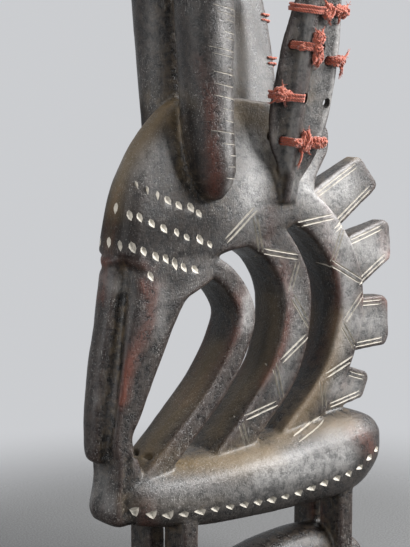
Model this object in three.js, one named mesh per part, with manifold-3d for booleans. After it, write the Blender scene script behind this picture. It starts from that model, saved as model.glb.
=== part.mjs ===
// Chi wara headdress: an antelope whose neck is a crescent of three curved bars, carved with its plinth
// from one piece of wood, with red yarn tied through holes in both ears.
// Millimetres, +Z up. The animal faces -X and its left side is -Y. The origin is the middle of the underside.
import * as THREE from 'three';
import { mergeVertices } from 'three/addons/utils/BufferGeometryUtils.js';
import Module from 'manifold-3d';

const wasm = await Module();
wasm.setup();

// Overall sizes
const figureHeight = 680;
// The free outlines below are drawn for this height and grow or shrink with the figure
const drawnHeight = 680;
const grow = figureHeight / drawnHeight;

// Plinth and the low hump on it
const plinthLength = 190;
const plinthWidth = 68;
const plinthThickness = 12;
const plinthCorner = 18;
const plinthEdge = 2.5;
const humpWidth = 34;

// Legs: square posts that stand in pairs
const legWidth = 18.5;
const legDepth = 11;
const legGap = 5;
const legEdge = 1.6;
const frontLegX = { left: -49.5, right: -55.5 };
const rearLegX = { left: 66, right: 66 };

// Neck bars and the tabs on the last one
const barWidth = 27.6;
const barEdge = 3;
const tabThickness = 17;
const tabTipThickness = 9;
const tabEdge = 1.2;

// Horns
const hornSpacing = 35.5;
const hornSpread = 22;
const hornFootRadius = 14.3;
const hornMiddleRadius = 17.5;
const hornTipRadius = 3;

// Ears
const earLength = 160;
const earEdgeThickness = 3.4;
const earMiddleThickness = 6.5;
const earRibHeight = 4;
const earRibWidth = 7.8;
const earTurn = 4;
const earLeanOut = 10;
const earLeanBack = 1.9;

// Holes in the ears and the yarn in them
const yarnRadius = 2;
const yarnClearance = 0.45;
const holeRadius = yarnRadius + 2 * yarnClearance;
const knotRadius = 4.2;

// Chip cuts and eyes
const flankNotch = { length: 6, height: 6.2, depth: 1.7 };
const browNotch = { length: 4.6, height: 4.4, depth: 1.3 };
const eyeWidth = 8.2;
const eyeHeight = 6.4;
const eyeDepth = 3.4;

// How far pieces of the carving run into each other where they are one
const overlap = 4;

const wood = new THREE.MeshStandardMaterial({ name: 'dark_wood', color: 0x2b211c, roughness: 0.45, metalness: 0 });
const yarn = new THREE.MeshStandardMaterial({ name: 'red_yarn', color: 0xa8412c, roughness: 0.95, metalness: 0 });

// Closed solid from rings of equal length; a closed loft joins its last ring to its first
function loft(rings, closed = false) {
  const count = rings[0].length;
  const points = rings.flat();
  const index = [];
  const spans = closed ? rings.length : rings.length - 1;
  for (let ring = 0; ring < spans; ring += 1) {
    const next = (ring + 1) % rings.length;
    for (let k = 0; k < count; k += 1) {
      const a = ring * count + k;
      const b = ring * count + ((k + 1) % count);
      const c = next * count + k;
      const d = next * count + ((k + 1) % count);
      index.push(a, b, d, a, d, c);
    }
  }
  if (!closed) {
    for (const [ring, flip] of [[0, true], [rings.length - 1, false]]) {
      const middle = new THREE.Vector3();
      rings[ring].forEach((point) => middle.addScaledVector(point, 1 / count));
      points.push(middle);
      for (let k = 0; k < count; k += 1) {
        const a = ring * count + k;
        const b = ring * count + ((k + 1) % count);
        index.push(...(flip ? [points.length - 1, b, a] : [points.length - 1, a, b]));
      }
    }
  }
  const geometry = new THREE.BufferGeometry().setFromPoints(points);
  geometry.setIndex(index);
  return geometry;
}

// Turns the faces outward if a loft came out inside out
function outward(geometry) {
  const index = geometry.index.array;
  const position = geometry.attributes.position;
  const [a, b, c] = [new THREE.Vector3(), new THREE.Vector3(), new THREE.Vector3()];
  let volume = 0;
  for (let k = 0; k < index.length; k += 3) {
    a.fromBufferAttribute(position, index[k]);
    b.fromBufferAttribute(position, index[k + 1]);
    c.fromBufferAttribute(position, index[k + 2]);
    volume += a.dot(b.cross(c));
  }
  if (volume < 0) {
    for (let k = 0; k < index.length; k += 3) {
      [index[k + 1], index[k + 2]] = [index[k + 2], index[k + 1]];
    }
  }
  return geometry;
}

function solid(geometry) {
  const plain = geometry.clone();
  plain.deleteAttribute('normal');
  plain.deleteAttribute('uv');
  const merged = outward(mergeVertices(plain, 1e-4));
  return new wasm.Manifold(new wasm.Mesh({
    numProp: 3,
    vertProperties: new Float32Array(merged.attributes.position.array),
    triVerts: new Uint32Array(merged.index.array),
  }));
}

function meshOf(manifold, material, name) {
  const { vertProperties, triVerts } = manifold.getMesh();
  const geometry = new THREE.BufferGeometry();
  geometry.setAttribute('position', new THREE.BufferAttribute(new Float32Array(vertProperties), 3));
  geometry.setIndex(new THREE.BufferAttribute(new Uint32Array(triVerts), 1));
  geometry.computeVertexNormals();
  const mesh = new THREE.Mesh(geometry, material);
  mesh.name = name;
  return mesh;
}

// Smooth value between rows of [place, value, value, ...], for any column
function between(rows, place, column) {
  const last = rows.length - 1;
  let low = 0;
  while (low < last - 1 && place > rows[low + 1][0]) {
    low += 1;
  }
  const share = (place - rows[low][0]) / (rows[low + 1][0] - rows[low][0]);
  const before = rows[Math.max(low - 1, 0)];
  const after = rows[Math.min(low + 2, last)];
  const slope = (a, b) => (b[column] - a[column]) / (b[0] - a[0]);
  const width = rows[low + 1][0] - rows[low][0];
  const start = slope(before, rows[low + 1]) * width;
  const end = slope(rows[low], after) * width;
  const t = THREE.MathUtils.clamp(share, 0, 1);
  return rows[low][column] * (2 * t ** 3 - 3 * t ** 2 + 1) + start * (t ** 3 - 2 * t ** 2 + t)
    + rows[low + 1][column] * (3 * t ** 2 - 2 * t ** 3) + end * (t ** 3 - t ** 2);
}

function rowsGrown(rows) {
  return rows.map((row) => row.map((value) => value * grow));
}

// Head: level slices from the bow of the body up through the muzzle, forehead, nape and crest.
// Each row is height, front, back, half width in front, half width behind, depth of the front corners.
const headRows = rowsGrown([
  [60.5, -90, -77, 9, 9, 3],
  [63, -94, -75, 11.5, 11.5, 3],
  [69, -95.8, -72, 12.5, 12.5, 3.5],
  [81, -93.2, -72, 12.8, 12.8, 3.5],
  [92, -92.4, -75, 12.6, 12.6, 3],
  [107, -95.2, -79.5, 12.4, 12.4, 3],
  [120, -94.6, -73.5, 12.8, 12.8, 3],
  [136, -92, -67, 13.8, 13.8, 3],
  [152, -89.5, -60, 14.6, 14.6, 3.4],
  [171, -86, -51, 15.7, 15.7, 4.4],
  [180, -84.4, -45, 16.2, 16, 5.2],
  [184, -83.8, -36, 16.4, 15.5, 5.6],
  [189, -83.4, -27, 16.6, 14.5, 5.8],
  [201, -83, -23.5, 16.6, 13.4, 6],
  [203, -84.5, -14, 16.6, 13.2, 7],
  [205, -87.6, 6, 16.6, 13, 9],
  [211, -87.3, 24, 16.4, 13, 10],
  [220, -85.8, 40, 16, 13, 10],
  [230, -83.8, 47, 15.2, 13, 10],
  [239, -81, 49, 14.4, 12, 10],
  [249, -76.8, 57, 13, 9.2, 10],
  [258, -72.2, 63, 11.4, 7, 10],
  [266, -66.8, 63.5, 10, 6.2, 10],
  [273, -60.8, 56, 8.8, 6, 9],
  [279, -54.6, 41, 7.6, 5.8, 9],
  [284, -47, 14, 6.4, 5.4, 8],
  [287, -38, -16, 4.6, 4.6, 5],
]);
// The crest and brow keep this much of their half width as a flat front, and the back corners as much
const headFlat = 0.5;
// The corners bulge to these shares of the half width, at these shares of the corner's depth
const headFrontBulge = { width: 0.82, depth: 0.35 };
const headBackBulge = { width: 0.85, depth: 0.3 };
const headBackDepth = 4.5 * grow;

function headSlice(row) {
  const [height, front, back, halfFront, halfBack, depth] = row;
  const half = [
    [front, halfFront * headFlat],
    [front + depth * headFrontBulge.depth, halfFront * headFrontBulge.width],
    [front + depth, halfFront],
    [(front + depth + back - headBackDepth) / 2, (halfFront + halfBack) / 2],
    [back - headBackDepth, halfBack],
    [back - headBackDepth * headBackBulge.depth, halfBack * headBackBulge.width],
    [back, halfBack * headFlat],
  ];
  const left = half.map(([x, y]) => new THREE.Vector3(x, -y, height));
  const right = half.map(([x, y]) => new THREE.Vector3(x, y, height)).reverse();
  return [...left, ...right];
}

function headSolid() {
  return solid(loft(headRows.map(headSlice)));
}

// Rib down the middle of the nose, from the brow to the lip: height, front, half width
const noseRows = rowsGrown([
  [96, -98.4, 4.4],
  [98, -101, 6],
  [106, -102.4, 6.6],
  [118, -102.3, 6.8],
  [134, -100.5, 7.1],
  [150, -98.6, 7.4],
  [166, -95.4, 7.6],
  [182, -92.8, 7.8],
  [207, -88.4, 8.2],
]);
const noseDepth = 14 * grow;
// Rounding of the rib's front: shares of the half width, back from the front and out from the middle
const noseSection = [[0, 0.45], [0.3, 0.88], [1, 1]];

function noseSolid() {
  const rings = noseRows.map(([height, front, half]) => {
    const side = noseSection.map(([back, out]) => [front + half * back, half * out]);
    side.push([front + noseDepth, half]);
    const left = side.map(([x, y]) => new THREE.Vector3(x, -y, height));
    const right = side.map(([x, y]) => new THREE.Vector3(x, y, height)).reverse();
    return [...left, ...right];
  });
  return solid(loft(rings));
}

// Body: upright slices from bow to rump.
// Each row is place along the body, belly height, height of the widest line, top height, half widths of
// belly, widest line and top.
const bodyRows = rowsGrown([
  [-87, 63, 74, 82, 8, 11.5, 9],
  [-82, 60.5, 73, 86, 11, 15.5, 10],
  [-73, 58, 72, 88, 14, 19, 11],
  [-55, 55, 72, 89, 17, 23, 12.5],
  [-25, 52.5, 73, 92, 19.5, 26.5, 14],
  [15, 52, 75, 96, 21, 28.5, 15.5],
  [50, 52, 77, 101, 21, 28.5, 17],
  [74, 54, 79, 102, 19, 26.5, 17],
  [90, 60, 81, 99, 14.5, 21.5, 14],
  [99, 68, 82, 94, 8.5, 14, 9],
  [103, 76, 82, 88, 3, 6, 3.5],
]);

// How the body rounds: the flat of the belly and of the back as shares of their half widths, and the rise
// of each line as a share of the height from belly to widest line or from there to the top
const bellyFlat = 0.55;
const backFlat = 0.5;
const bellyEdgeRise = 0.12;
const flankBulge = { width: 0.94, rise: 0.55 };
const shoulderBulge = { width: 0.88, rise: 0.5 };
const backEdgeRise = 0.9;

function bodySlice([x, belly, middle, top, halfBelly, halfMiddle, halfTop]) {
  const { lerp } = THREE.MathUtils;
  const half = [
    [halfBelly * bellyFlat, belly],
    [halfBelly, lerp(belly, middle, bellyEdgeRise)],
    [halfMiddle * flankBulge.width, lerp(belly, middle, flankBulge.rise)],
    [halfMiddle, middle],
    [lerp(halfTop, halfMiddle, shoulderBulge.width), lerp(middle, top, shoulderBulge.rise)],
    [halfTop, lerp(middle, top, backEdgeRise)],
    [halfTop * backFlat, top],
  ];
  const left = half.map(([y, z]) => new THREE.Vector3(x, -y, z));
  const right = half.map(([y, z]) => new THREE.Vector3(x, y, z)).reverse();
  return [...left, ...right];
}

function bodySolid() {
  return solid(loft(bodyRows.map(bodySlice)));
}

// Flank surface: half width of the body at a place and height
function flankHalf(x, z) {
  const column = (number) => between(bodyRows, x, number);
  const slice = bodySlice([x, column(1), column(2), column(3), column(4), column(5), column(6)]);
  const side = slice.slice(0, slice.length / 2);
  for (let k = 0; k < side.length - 1; k += 1) {
    if (z >= side[k].z && z <= side[k + 1].z) {
      const share = (z - side[k].z) / (side[k + 1].z - side[k].z);
      return -THREE.MathUtils.lerp(side[k].y, side[k + 1].y, share);
    }
  }
  return -side[side.length - 1].y;
}

// Neck bars: middle line from the head down to the body, and thickness at its two ends and middle
const bars = [
  {
    line: [[-38, 201], [-16, 187], [-4.2, 168], [-7.4, 154], [-22.2, 130], [-45.5, 106], [-68, 85], [-82, 72]],
    thickness: [12, 12.8, 12.4],
  },
  {
    line: [[2, 214], [18, 203.5], [30.5, 184], [33, 164], [25, 134], [4, 109], [-17, 89], [-34, 73]],
    thickness: [22, 21.2, 15],
  },
  {
    line: [[32, 228], [54, 212], [71, 188], [75.4, 164], [66, 131], [46, 107], [25, 89], [8, 74]],
    thickness: [22, 19.5, 16],
  },
];
const barSteps = 12;
// A rounded corner of a post comes this close to the sharp one, as a share of its radius
const cornerRound = 0.3;

// Ring of a bar: flat sides with rounded corners
function barRing(middle, across, halfThickness, halfWidth, edge) {
  const corner = edge * cornerRound;
  const quarter = [
    [halfThickness, halfWidth - edge],
    [halfThickness - corner, halfWidth - corner],
    [halfThickness - edge, halfWidth],
  ];
  const outline = [
    ...quarter,
    ...quarter.map(([a, b]) => [-a, b]).reverse(),
    ...quarter.map(([a, b]) => [-a, -b]),
    ...quarter.map(([a, b]) => [a, -b]).reverse(),
  ];
  return outline.map(([a, b]) => new THREE.Vector3(middle.x, 0, middle.y)
    .add(new THREE.Vector3(across.x * a, b, across.y * a)));
}

function barLine({ line }) {
  return new THREE.SplineCurve(line.map(([x, z]) => new THREE.Vector2(x * grow, z * grow)));
}

function barThickness({ thickness: [head, middle, body] }, share) {
  const half = share < 0.5 ? THREE.MathUtils.lerp(head, middle, share * 2)
    : THREE.MathUtils.lerp(middle, body, share * 2 - 1);
  return half * grow;
}

function barSolid(bar) {
  const curve = barLine(bar);
  const rings = [];
  for (let step = 0; step <= barSteps; step += 1) {
    const share = step / barSteps;
    const tangent = curve.getTangentAt(share);
    const across = new THREE.Vector2(-tangent.y, tangent.x);
    rings.push(barRing(curve.getPointAt(share), across, barThickness(bar, share) / 2, barWidth / 2, barEdge));
  }
  return solid(loft(rings));
}

// Tabs on the back of the last bar: outer corners and the two root corners, from the top one down
const tabs = [
  [[46, 232], [53, 235.5], [86.5, 251.5], [90, 250.4], [103.5, 235.5], [102.5, 232], [66, 209]],
  [[72, 201.5], [80.5, 206], [109, 213.2], [114, 210.8], [115.6, 200], [115.3, 189.5], [86, 174]],
  [[80, 168.2], [87, 168.2], [110.4, 167.2], [114.3, 163.5], [115.4, 141.5], [112, 136.5], [80, 136]],
  [[74, 129], [82, 126.2], [96.3, 121.7], [98.9, 117.8], [93.6, 106.1], [67, 102.3], [58, 103]],
];

function tabSolid(points) {
  const shape = new THREE.Shape(points.map(([x, z]) => new THREE.Vector2(x * grow, z * grow)));
  const geometry = new THREE.ExtrudeGeometry(shape, {
    depth: tabThickness - 2 * tabEdge,
    bevelThickness: tabEdge,
    bevelSize: tabEdge,
    bevelOffset: -tabEdge,
    bevelSegments: 1,
  });
  geometry.translate(0, 0, -(tabThickness / 2 - tabEdge));
  geometry.rotateX(Math.PI / 2);
  // thinner the further it stands out from the line between its root corners
  const [rootTop, rootLow] = [points[0], points[points.length - 1]]
    .map(([x, z]) => new THREE.Vector2(x * grow, z * grow));
  const along = rootLow.clone().sub(rootTop).normalize();
  const reach = (x, z) => Math.abs((x - rootTop.x) * along.y - (z - rootTop.y) * along.x);
  const furthest = Math.max(...points.map(([x, z]) => reach(x * grow, z * grow)));
  const position = geometry.attributes.position;
  for (let k = 0; k < position.count; k += 1) {
    const share = reach(position.getX(k), position.getZ(k)) / furthest;
    position.setY(k, position.getY(k) * THREE.MathUtils.lerp(1, tabTipThickness / tabThickness, share));
  }
  return solid(geometry);
}

// Horns: middle line of the left one in side view from foot to tip, and radius along it
const hornLine = [
  [-31.3, 232], [-32.5, 242], [-35.5, 262], [-37.2, 285], [-39, 335], [-39, 400], [-31, 480], [-11, 565], [16, 640],
  [32, 676],
];
const hornSteps = 16;
const hornSides = 14;
// Rings stand closer together toward the foot, and the spread comes mostly near the tip
const hornCrowding = 1.25;
const hornFlare = 1.5;
// Share of the length over which the foot closes to a rounded end
const hornFootShare = 0.02;
const hornFootLeast = 0.15;
// Radius along the horn
const hornSwell = [
  [0, hornFootRadius],
  [0.12, hornFootRadius],
  [0.33, hornMiddleRadius],
  [0.62, hornMiddleRadius * 0.83],
  [1, hornTipRadius],
];

function hornSolid(side) {
  const curve = new THREE.SplineCurve(hornLine.map(([x, z]) => new THREE.Vector2(x * grow, z * grow)));
  const rings = [];
  for (let step = 0; step <= hornSteps; step += 1) {
    const share = (step / hornSteps) ** hornCrowding;
    const middle = curve.getPointAt(share);
    const tangent = curve.getTangentAt(share);
    const across = new THREE.Vector2(tangent.y, -tangent.x);
    const y = side * (hornSpacing / 2 + hornSpread / 2 * share ** hornFlare);
    const foot = Math.sqrt(Math.min(1, hornFootLeast + share / (2 * hornFootShare)));
    const radius = between(hornSwell, share, 1) * foot;
    const ring = [];
    for (let k = 0; k < hornSides; k += 1) {
      const angle = (2 * Math.PI * k) / hornSides;
      const out = across.clone().multiplyScalar(radius * Math.cos(angle));
      ring.push(new THREE.Vector3(middle.x + out.x, y + radius * Math.sin(angle), middle.y + out.y));
    }
    rings.push(ring);
  }
  return solid(loft(rings));
}

// Ears: leaf blades. Rows are share of the length, width before and behind the rib.
const earBase = [22, -16.2, 240].map((value) => value * grow);
const earRows = [
  [0, 4.7, 8.6],
  [0.03, 6, 11.6],
  [0.065, 8.3, 15.4],
  [0.1, 12, 17.8],
  [0.16, 16, 20.8],
  [0.24, 17.6, 22.8],
  [0.36, 16.5, 23.3],
  [0.47, 15.5, 22.7],
  [0.58, 12.3, 20.6],
  [0.7, 8.4, 16.6],
  [0.82, 5.7, 11.8],
  [0.92, 3.4, 6.8],
  [1, 1.4, 2.2],
];

// Axes of an ear: along it, across it to the back edge, and out of its face
function earFrame(side) {
  const turn = THREE.MathUtils.degToRad(earTurn);
  const up = new THREE.Vector3(
    Math.tan(THREE.MathUtils.degToRad(earLeanBack)),
    side * Math.tan(THREE.MathUtils.degToRad(earLeanOut)),
    1,
  ).normalize();
  const face = new THREE.Vector3(-Math.sin(turn), side * Math.cos(turn), 0);
  face.addScaledVector(up, -face.dot(up)).normalize();
  const across = new THREE.Vector3(Math.cos(turn), side * Math.sin(turn), 0);
  across.addScaledVector(up, -across.dot(up));
  across.addScaledVector(face, -across.dot(face)).normalize();
  const base = new THREE.Vector3(earBase[0], -side * earBase[1], earBase[2]);
  return { up, face, across, base };
}

function earPoint(frame, length, width, out) {
  return frame.base.clone().addScaledVector(frame.up, length)
    .addScaledVector(frame.across, width).addScaledVector(frame.face, out);
}

function earWidths(length) {
  const share = length / earLength;
  return { before: between(earRows, share, 1), behind: between(earRows, share, 2) };
}

// Widest that an ear gets under a yarn bundle
function earWidthsUnder(length) {
  const places = [-1, 0, 1].map((share) => earWidths(length + share * yarnRadius));
  return {
    before: Math.max(...places.map(({ before }) => before)),
    behind: Math.max(...places.map(({ behind }) => behind)),
  };
}

// The outer face is slightly hollow before the rib and full behind it; the back swells to the middle
const earHollow = 0.2;
const earRibFoot = 0.8;
const earFullness = 1.2;
const earRibTop = 0.5;
const earBackBulge = 0.85;

// Section of an ear as [across, out]: the outer face with its rib first, then the back
function earSection(length) {
  const { before, behind } = earWidths(length);
  const slim = Math.min(1, (before + behind) / (2 * earRibWidth));
  const rib = earRibWidth / 2 * slim;
  const high = earRibHeight * slim;
  const edge = earEdgeThickness * (1 + slim) / 2;
  const deep = earMiddleThickness * slim;
  return [
    [-before, 0],
    [-(before + rib) / 2, -earHollow * slim],
    [-rib, earRibFoot * slim],
    [-rib * earRibTop, high],
    [rib * earRibTop, high],
    [rib, earFullness * slim],
    [(behind + rib) / 2, earFullness * slim],
    [behind, 0],
    [behind, -edge],
    [behind / 2, -deep * earBackBulge],
    [0, -deep],
    [-before / 2, -deep * earBackBulge],
    [-before, -edge],
  ];
}
// Number of its points that lie on the outer face
const earFacePoints = 8;

// Height of an ear's outer face or back at a place across it
function earSurface(length, width, outer) {
  const section = earSection(length);
  const line = outer ? section.slice(0, earFacePoints) : section.slice(earFacePoints).reverse();
  for (let k = 0; k < line.length - 1; k += 1) {
    if (width >= line[k][0] && width <= line[k + 1][0]) {
      const share = (width - line[k][0]) / (line[k + 1][0] - line[k][0]);
      return THREE.MathUtils.lerp(line[k][1], line[k + 1][1], share);
    }
  }
  return outer ? line[0][1] : line[line.length - 1][1];
}

// Ties on each ear, by distance along it. An end is a hole at that place across the ear, or null for its edge.
const ties = {
  left: [
    { length: 95, front: null, back: null },
    { length: 75, front: -10.4, back: 8 },
    { length: 68, front: 14.3, back: null },
    { length: 47, front: null, back: 0 },
    { length: 22.5, front: -7.4, back: null },
  ],
  right: [
    { length: 94, front: 15, back: null },
    { length: 69, front: 17.5, back: null },
    { length: 22.5, front: -7.4, back: null },
  ],
};
// Holes that have lost their yarn
const openHoles = { left: [[44.6, 18]], right: [] };
const holeSides = 8;

function hole(frame, length, width) {
  const reach = 2 * (earRibHeight + earMiddleThickness);
  const geometry = new THREE.CylinderGeometry(holeRadius, holeRadius, reach, holeSides);
  const basis = new THREE.Matrix4().makeBasis(frame.up, frame.face, frame.across);
  geometry.applyMatrix4(basis);
  const place = earPoint(frame, length, width, 0);
  geometry.translate(place.x, place.y, place.z);
  return solid(geometry);
}

function earSolid(side, hand) {
  const frame = earFrame(side);
  const rings = earRows.map(([share]) => earSection(share * earLength)
    .map(([width, out]) => earPoint(frame, share * earLength, width, out)));
  // the foot of the ear runs down into the nape
  rings.unshift(rings[0].map((point) => point.clone().addScaledVector(frame.up, -3 * overlap)));
  let ear = solid(loft(rings));
  for (const { length, front, back } of ties[hand]) {
    for (const width of [front, back].filter((value) => value !== null)) {
      ear = ear.subtract(hole(frame, length, width));
    }
  }
  for (const [length, width] of openHoles[hand]) {
    ear = ear.subtract(hole(frame, length, width));
  }
  return ear;
}

// Yarn bundle that closes round part of an ear, with its knot on the outer face
const tieSides = 5;
// A bundle grows by no more than this at a sharp turn, and stands this much further off the top of the rib
const tieMiter = 1.35;
const tieRise = 0.4;

function tieSolid(side, { length, front, back }) {
  const frame = earFrame(side);
  const { before, behind } = earWidthsUnder(length);
  const free = yarnClearance + yarnRadius;
  const start = front === null ? -before - free : front;
  const end = back === null ? behind + free : back;
  const rib = earRibWidth / 2;
  const inner = (width) => THREE.MathUtils.clamp(width, -before + yarnRadius, behind - yarnRadius);
  const outside = (width) => Math.max(
    earSurface(length, inner(width) - yarnRadius, true),
    earSurface(length, inner(width) + yarnRadius, true),
  ) + free;
  const inside = (width) => Math.min(
    earSurface(length, inner(width) - yarnRadius, false),
    earSurface(length, inner(width) + yarnRadius, false),
  ) - free;
  const over = earRibHeight + free;
  const crosses = start < -rib && end > rib;
  const path = [[start, outside(start)]];
  if (crosses) {
    path.push([-rib, over], [0, over + tieRise], [rib, over]);
  } else if (start < -rib && end > -rib) {
    path.push([-rib, over]);
  } else {
    path.push([(start + end) / 2, outside((start + end) / 2)]);
  }
  path.push([end, outside(end)], [end, (outside(end) + inside(end)) / 2], [end, inside(end)]);
  const behindPlaces = start < 0 && end > 0 ? [end / 2, 0, start / 2] : [(start + end) / 2];
  behindPlaces.forEach((width) => path.push([width, inside(width)]));
  path.push([start, inside(start)], [start, (outside(start) + inside(start)) / 2]);
  const rings = path.map(([width, out], k) => {
    const [widthBefore, outBefore] = path[(k + path.length - 1) % path.length];
    const [widthAfter, outAfter] = path[(k + 1) % path.length];
    const inward = new THREE.Vector2(width - widthBefore, out - outBefore).normalize();
    const onward = new THREE.Vector2(widthAfter - width, outAfter - out).normalize();
    const tangent = inward.clone().add(onward).normalize();
    const miter = Math.min(tieMiter, 1 / Math.abs(tangent.dot(onward)));
    const ring = [];
    for (let corner = 0; corner < tieSides; corner += 1) {
      const angle = (2 * Math.PI * corner) / tieSides;
      const flat = yarnRadius * Math.cos(angle) * miter;
      ring.push(earPoint(
        frame,
        length + yarnRadius * Math.sin(angle),
        width - tangent.y * flat,
        out + tangent.x * flat,
      ));
    }
    return ring;
  });
  const bundle = solid(loft(rings, true));
  const knot = new THREE.IcosahedronGeometry(knotRadius, 0);
  const knotWidth = crosses ? 0 : (start + end) / 2;
  const knotOut = Math.max(...path.map(([, out]) => out)) + knotRadius - yarnRadius;
  const place = earPoint(frame, length, knotWidth, knotOut);
  knot.translate(place.x, place.y, place.z);
  return bundle.add(solid(knot));
}

// Legs, hump and plinth
function legSolid(x, side) {
  const top = between(bodyRows, x * grow, 1) + overlap;
  const low = plinthThickness - overlap;
  const y = side * (legGap / 2 + legWidth / 2);
  const ring = (z) => barRing(new THREE.Vector2(x * grow, z), new THREE.Vector2(1, 0), legDepth / 2, legWidth / 2,
    legEdge).map((point) => point.add(new THREE.Vector3(0, y, 0)));
  return solid(loft([ring(low), ring(top)]));
}

// Rows of the hump: place along it, height above the plinth
const humpRows = [[-34, 1], [-22, 9], [0, 16], [22, 20.5], [46, 22.5], [66, 20], [80, 13], [89, 4], [91, 1]];
const humpSteps = 7;
// Squareness of its arch, its width at the ends as a share, and the rise at which it has widened
const humpArch = 0.8;
const humpEndWidth = 0.45;
const humpWideRise = 20;

function humpSolid() {
  const rings = humpRows.map(([x, rise]) => {
    const half = humpWidth / 2 * Math.min(1, humpEndWidth + rise / humpWideRise);
    const ring = [];
    for (let k = 0; k <= humpSteps; k += 1) {
      const angle = (Math.PI * k) / humpSteps;
      const out = half * Math.sign(Math.cos(angle)) * Math.abs(Math.cos(angle)) ** humpArch;
      const up = plinthThickness + rise * grow * Math.max(0, Math.sin(angle)) ** humpArch;
      ring.push(new THREE.Vector3(x * grow, out, up));
    }
    ring.push(new THREE.Vector3(x * grow, -half, plinthThickness - overlap));
    ring.push(new THREE.Vector3(x * grow, half, plinthThickness - overlap));
    return ring;
  });
  return solid(loft(rings));
}

function plinthSolid() {
  const [halfLength, halfWidth] = [plinthLength / 2, plinthWidth / 2];
  const shape = new THREE.Shape();
  shape.moveTo(-halfLength + plinthCorner, -halfWidth);
  shape.lineTo(halfLength - plinthCorner, -halfWidth);
  shape.absarc(halfLength - plinthCorner, -halfWidth + plinthCorner, plinthCorner, -Math.PI / 2, 0);
  shape.absarc(halfLength - plinthCorner, halfWidth - plinthCorner, plinthCorner, 0, Math.PI / 2);
  shape.absarc(-halfLength + plinthCorner, halfWidth - plinthCorner, plinthCorner, Math.PI / 2, Math.PI);
  shape.absarc(-halfLength + plinthCorner, -halfWidth + plinthCorner, plinthCorner, Math.PI, 1.5 * Math.PI);
  const geometry = new THREE.ExtrudeGeometry(shape, {
    depth: plinthThickness - 2 * plinthEdge,
    bevelThickness: plinthEdge,
    bevelSize: plinthEdge,
    bevelOffset: -plinthEdge,
    bevelSegments: 2,
    curveSegments: 5,
  });
  geometry.translate(0, 0, plinthEdge);
  return solid(geometry);
}

// A cut begins this much above the surface, as a share of its depth
const chipLift = 1.2;

// Chip cut: a three-sided pit that points forward, sunk along the surface normal
function chip(place, normal, forward, { length, height, depth }) {
  const upward = new THREE.Vector3().crossVectors(normal, forward).normalize();
  const back = place.clone().addScaledVector(forward, -length / 2);
  const tip = place.clone().addScaledVector(forward, length / 2);
  const corners = [tip, back.clone().addScaledVector(upward, height / 2),
    back.clone().addScaledVector(upward, -height / 2)];
  const centre = new THREE.Vector3();
  corners.forEach((corner) => centre.addScaledVector(corner, 1 / 3));
  const widen = 1 + chipLift;
  const top = corners.map((corner) => corner.clone().sub(centre).multiplyScalar(widen).add(centre)
    .addScaledVector(normal, depth * chipLift));
  const bottom = centre.clone().addScaledVector(normal, -depth);
  const geometry = new THREE.BufferGeometry().setFromPoints([...top, bottom]);
  geometry.setIndex([0, 1, 2, 0, 3, 1, 1, 3, 2, 2, 3, 0]);
  return solid(geometry);
}

// Row of cuts along the lower flank, from the bow to the rump: place and height
const flankRow = rowsGrown([[-88, 74], [-67, 68.5], [-39, 65.5], [-5, 64.2], [28, 64.4], [64, 68], [82, 75], [90, 81]]);
const flankNotches = 19;
const flankNotchStart = 0.2;

function flankChips(side) {
  const chips = [];
  const curve = new THREE.SplineCurve(flankRow.map(([x, z]) => new THREE.Vector2(x, z)));
  for (let k = 0; k < flankNotches; k += 1) {
    const share = (k + flankNotchStart) / flankNotches;
    const { x, y: z } = curve.getPointAt(share);
    const step = 2;
    const here = new THREE.Vector3(x, side * flankHalf(x, z), z);
    const onward = new THREE.Vector3(x + step, side * flankHalf(x + step, z), z).sub(here);
    const above = new THREE.Vector3(x, side * flankHalf(x, z + step), z + step).sub(here);
    const normal = new THREE.Vector3().crossVectors(onward, above).multiplyScalar(-side).normalize();
    const { x: alongX, y: alongZ } = curve.getTangentAt(share);
    const forward = new THREE.Vector3(-alongX, 0, -alongZ);
    forward.addScaledVector(normal, -forward.dot(normal)).normalize();
    chips.push(chip(here, normal, forward, flankNotch));
  }
  return chips;
}

// Three rows of cuts on the forehead: both ends as place and height, and their number
const browRows = [
  { start: [-84, 243], end: [-42, 226.5], count: 8 },
  { start: [-88, 229], end: [-36, 209], count: 9 },
  { start: [-89, 214.5], end: [-43, 197.5], count: 9 },
];

// Half width of the head at a place and height, from its slices
function headHalf(x, z) {
  const column = (number) => between(headRows, z, number);
  const slice = headSlice([z, column(1), column(2), column(3), column(4), column(5)]).slice(0, 7);
  for (let k = 0; k < slice.length - 1; k += 1) {
    if (x >= slice[k].x && x <= slice[k + 1].x) {
      const share = (x - slice[k].x) / (slice[k + 1].x - slice[k].x);
      return -THREE.MathUtils.lerp(slice[k].y, slice[k + 1].y, share);
    }
  }
  return -slice[0].y;
}

function browChips(side) {
  const chips = [];
  for (const { start, end, count } of browRows) {
    for (let k = 0; k < count; k += 1) {
      const share = (k + 0.5) / count;
      const x = THREE.MathUtils.lerp(start[0], end[0], share) * grow;
      const z = THREE.MathUtils.lerp(start[1], end[1], share) * grow;
      const step = 2;
      const here = new THREE.Vector3(x, side * headHalf(x, z), z);
      const onward = new THREE.Vector3(x + step, side * headHalf(x + step, z), z).sub(here);
      const above = new THREE.Vector3(x, side * headHalf(x, z + step), z + step).sub(here);
      const normal = new THREE.Vector3().crossVectors(onward, above).multiplyScalar(-side).normalize();
      const forward = new THREE.Vector3(start[0] - end[0], 0, start[1] - end[1]);
      forward.addScaledVector(normal, -forward.dot(normal)).normalize();
      chips.push(chip(here, normal, forward, browNotch));
    }
  }
  return chips;
}

// Square eye, cut into the slanting cheek beside the nose rib
const eyeAt = [-82.2, 193.4].map((value) => value * grow);

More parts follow.
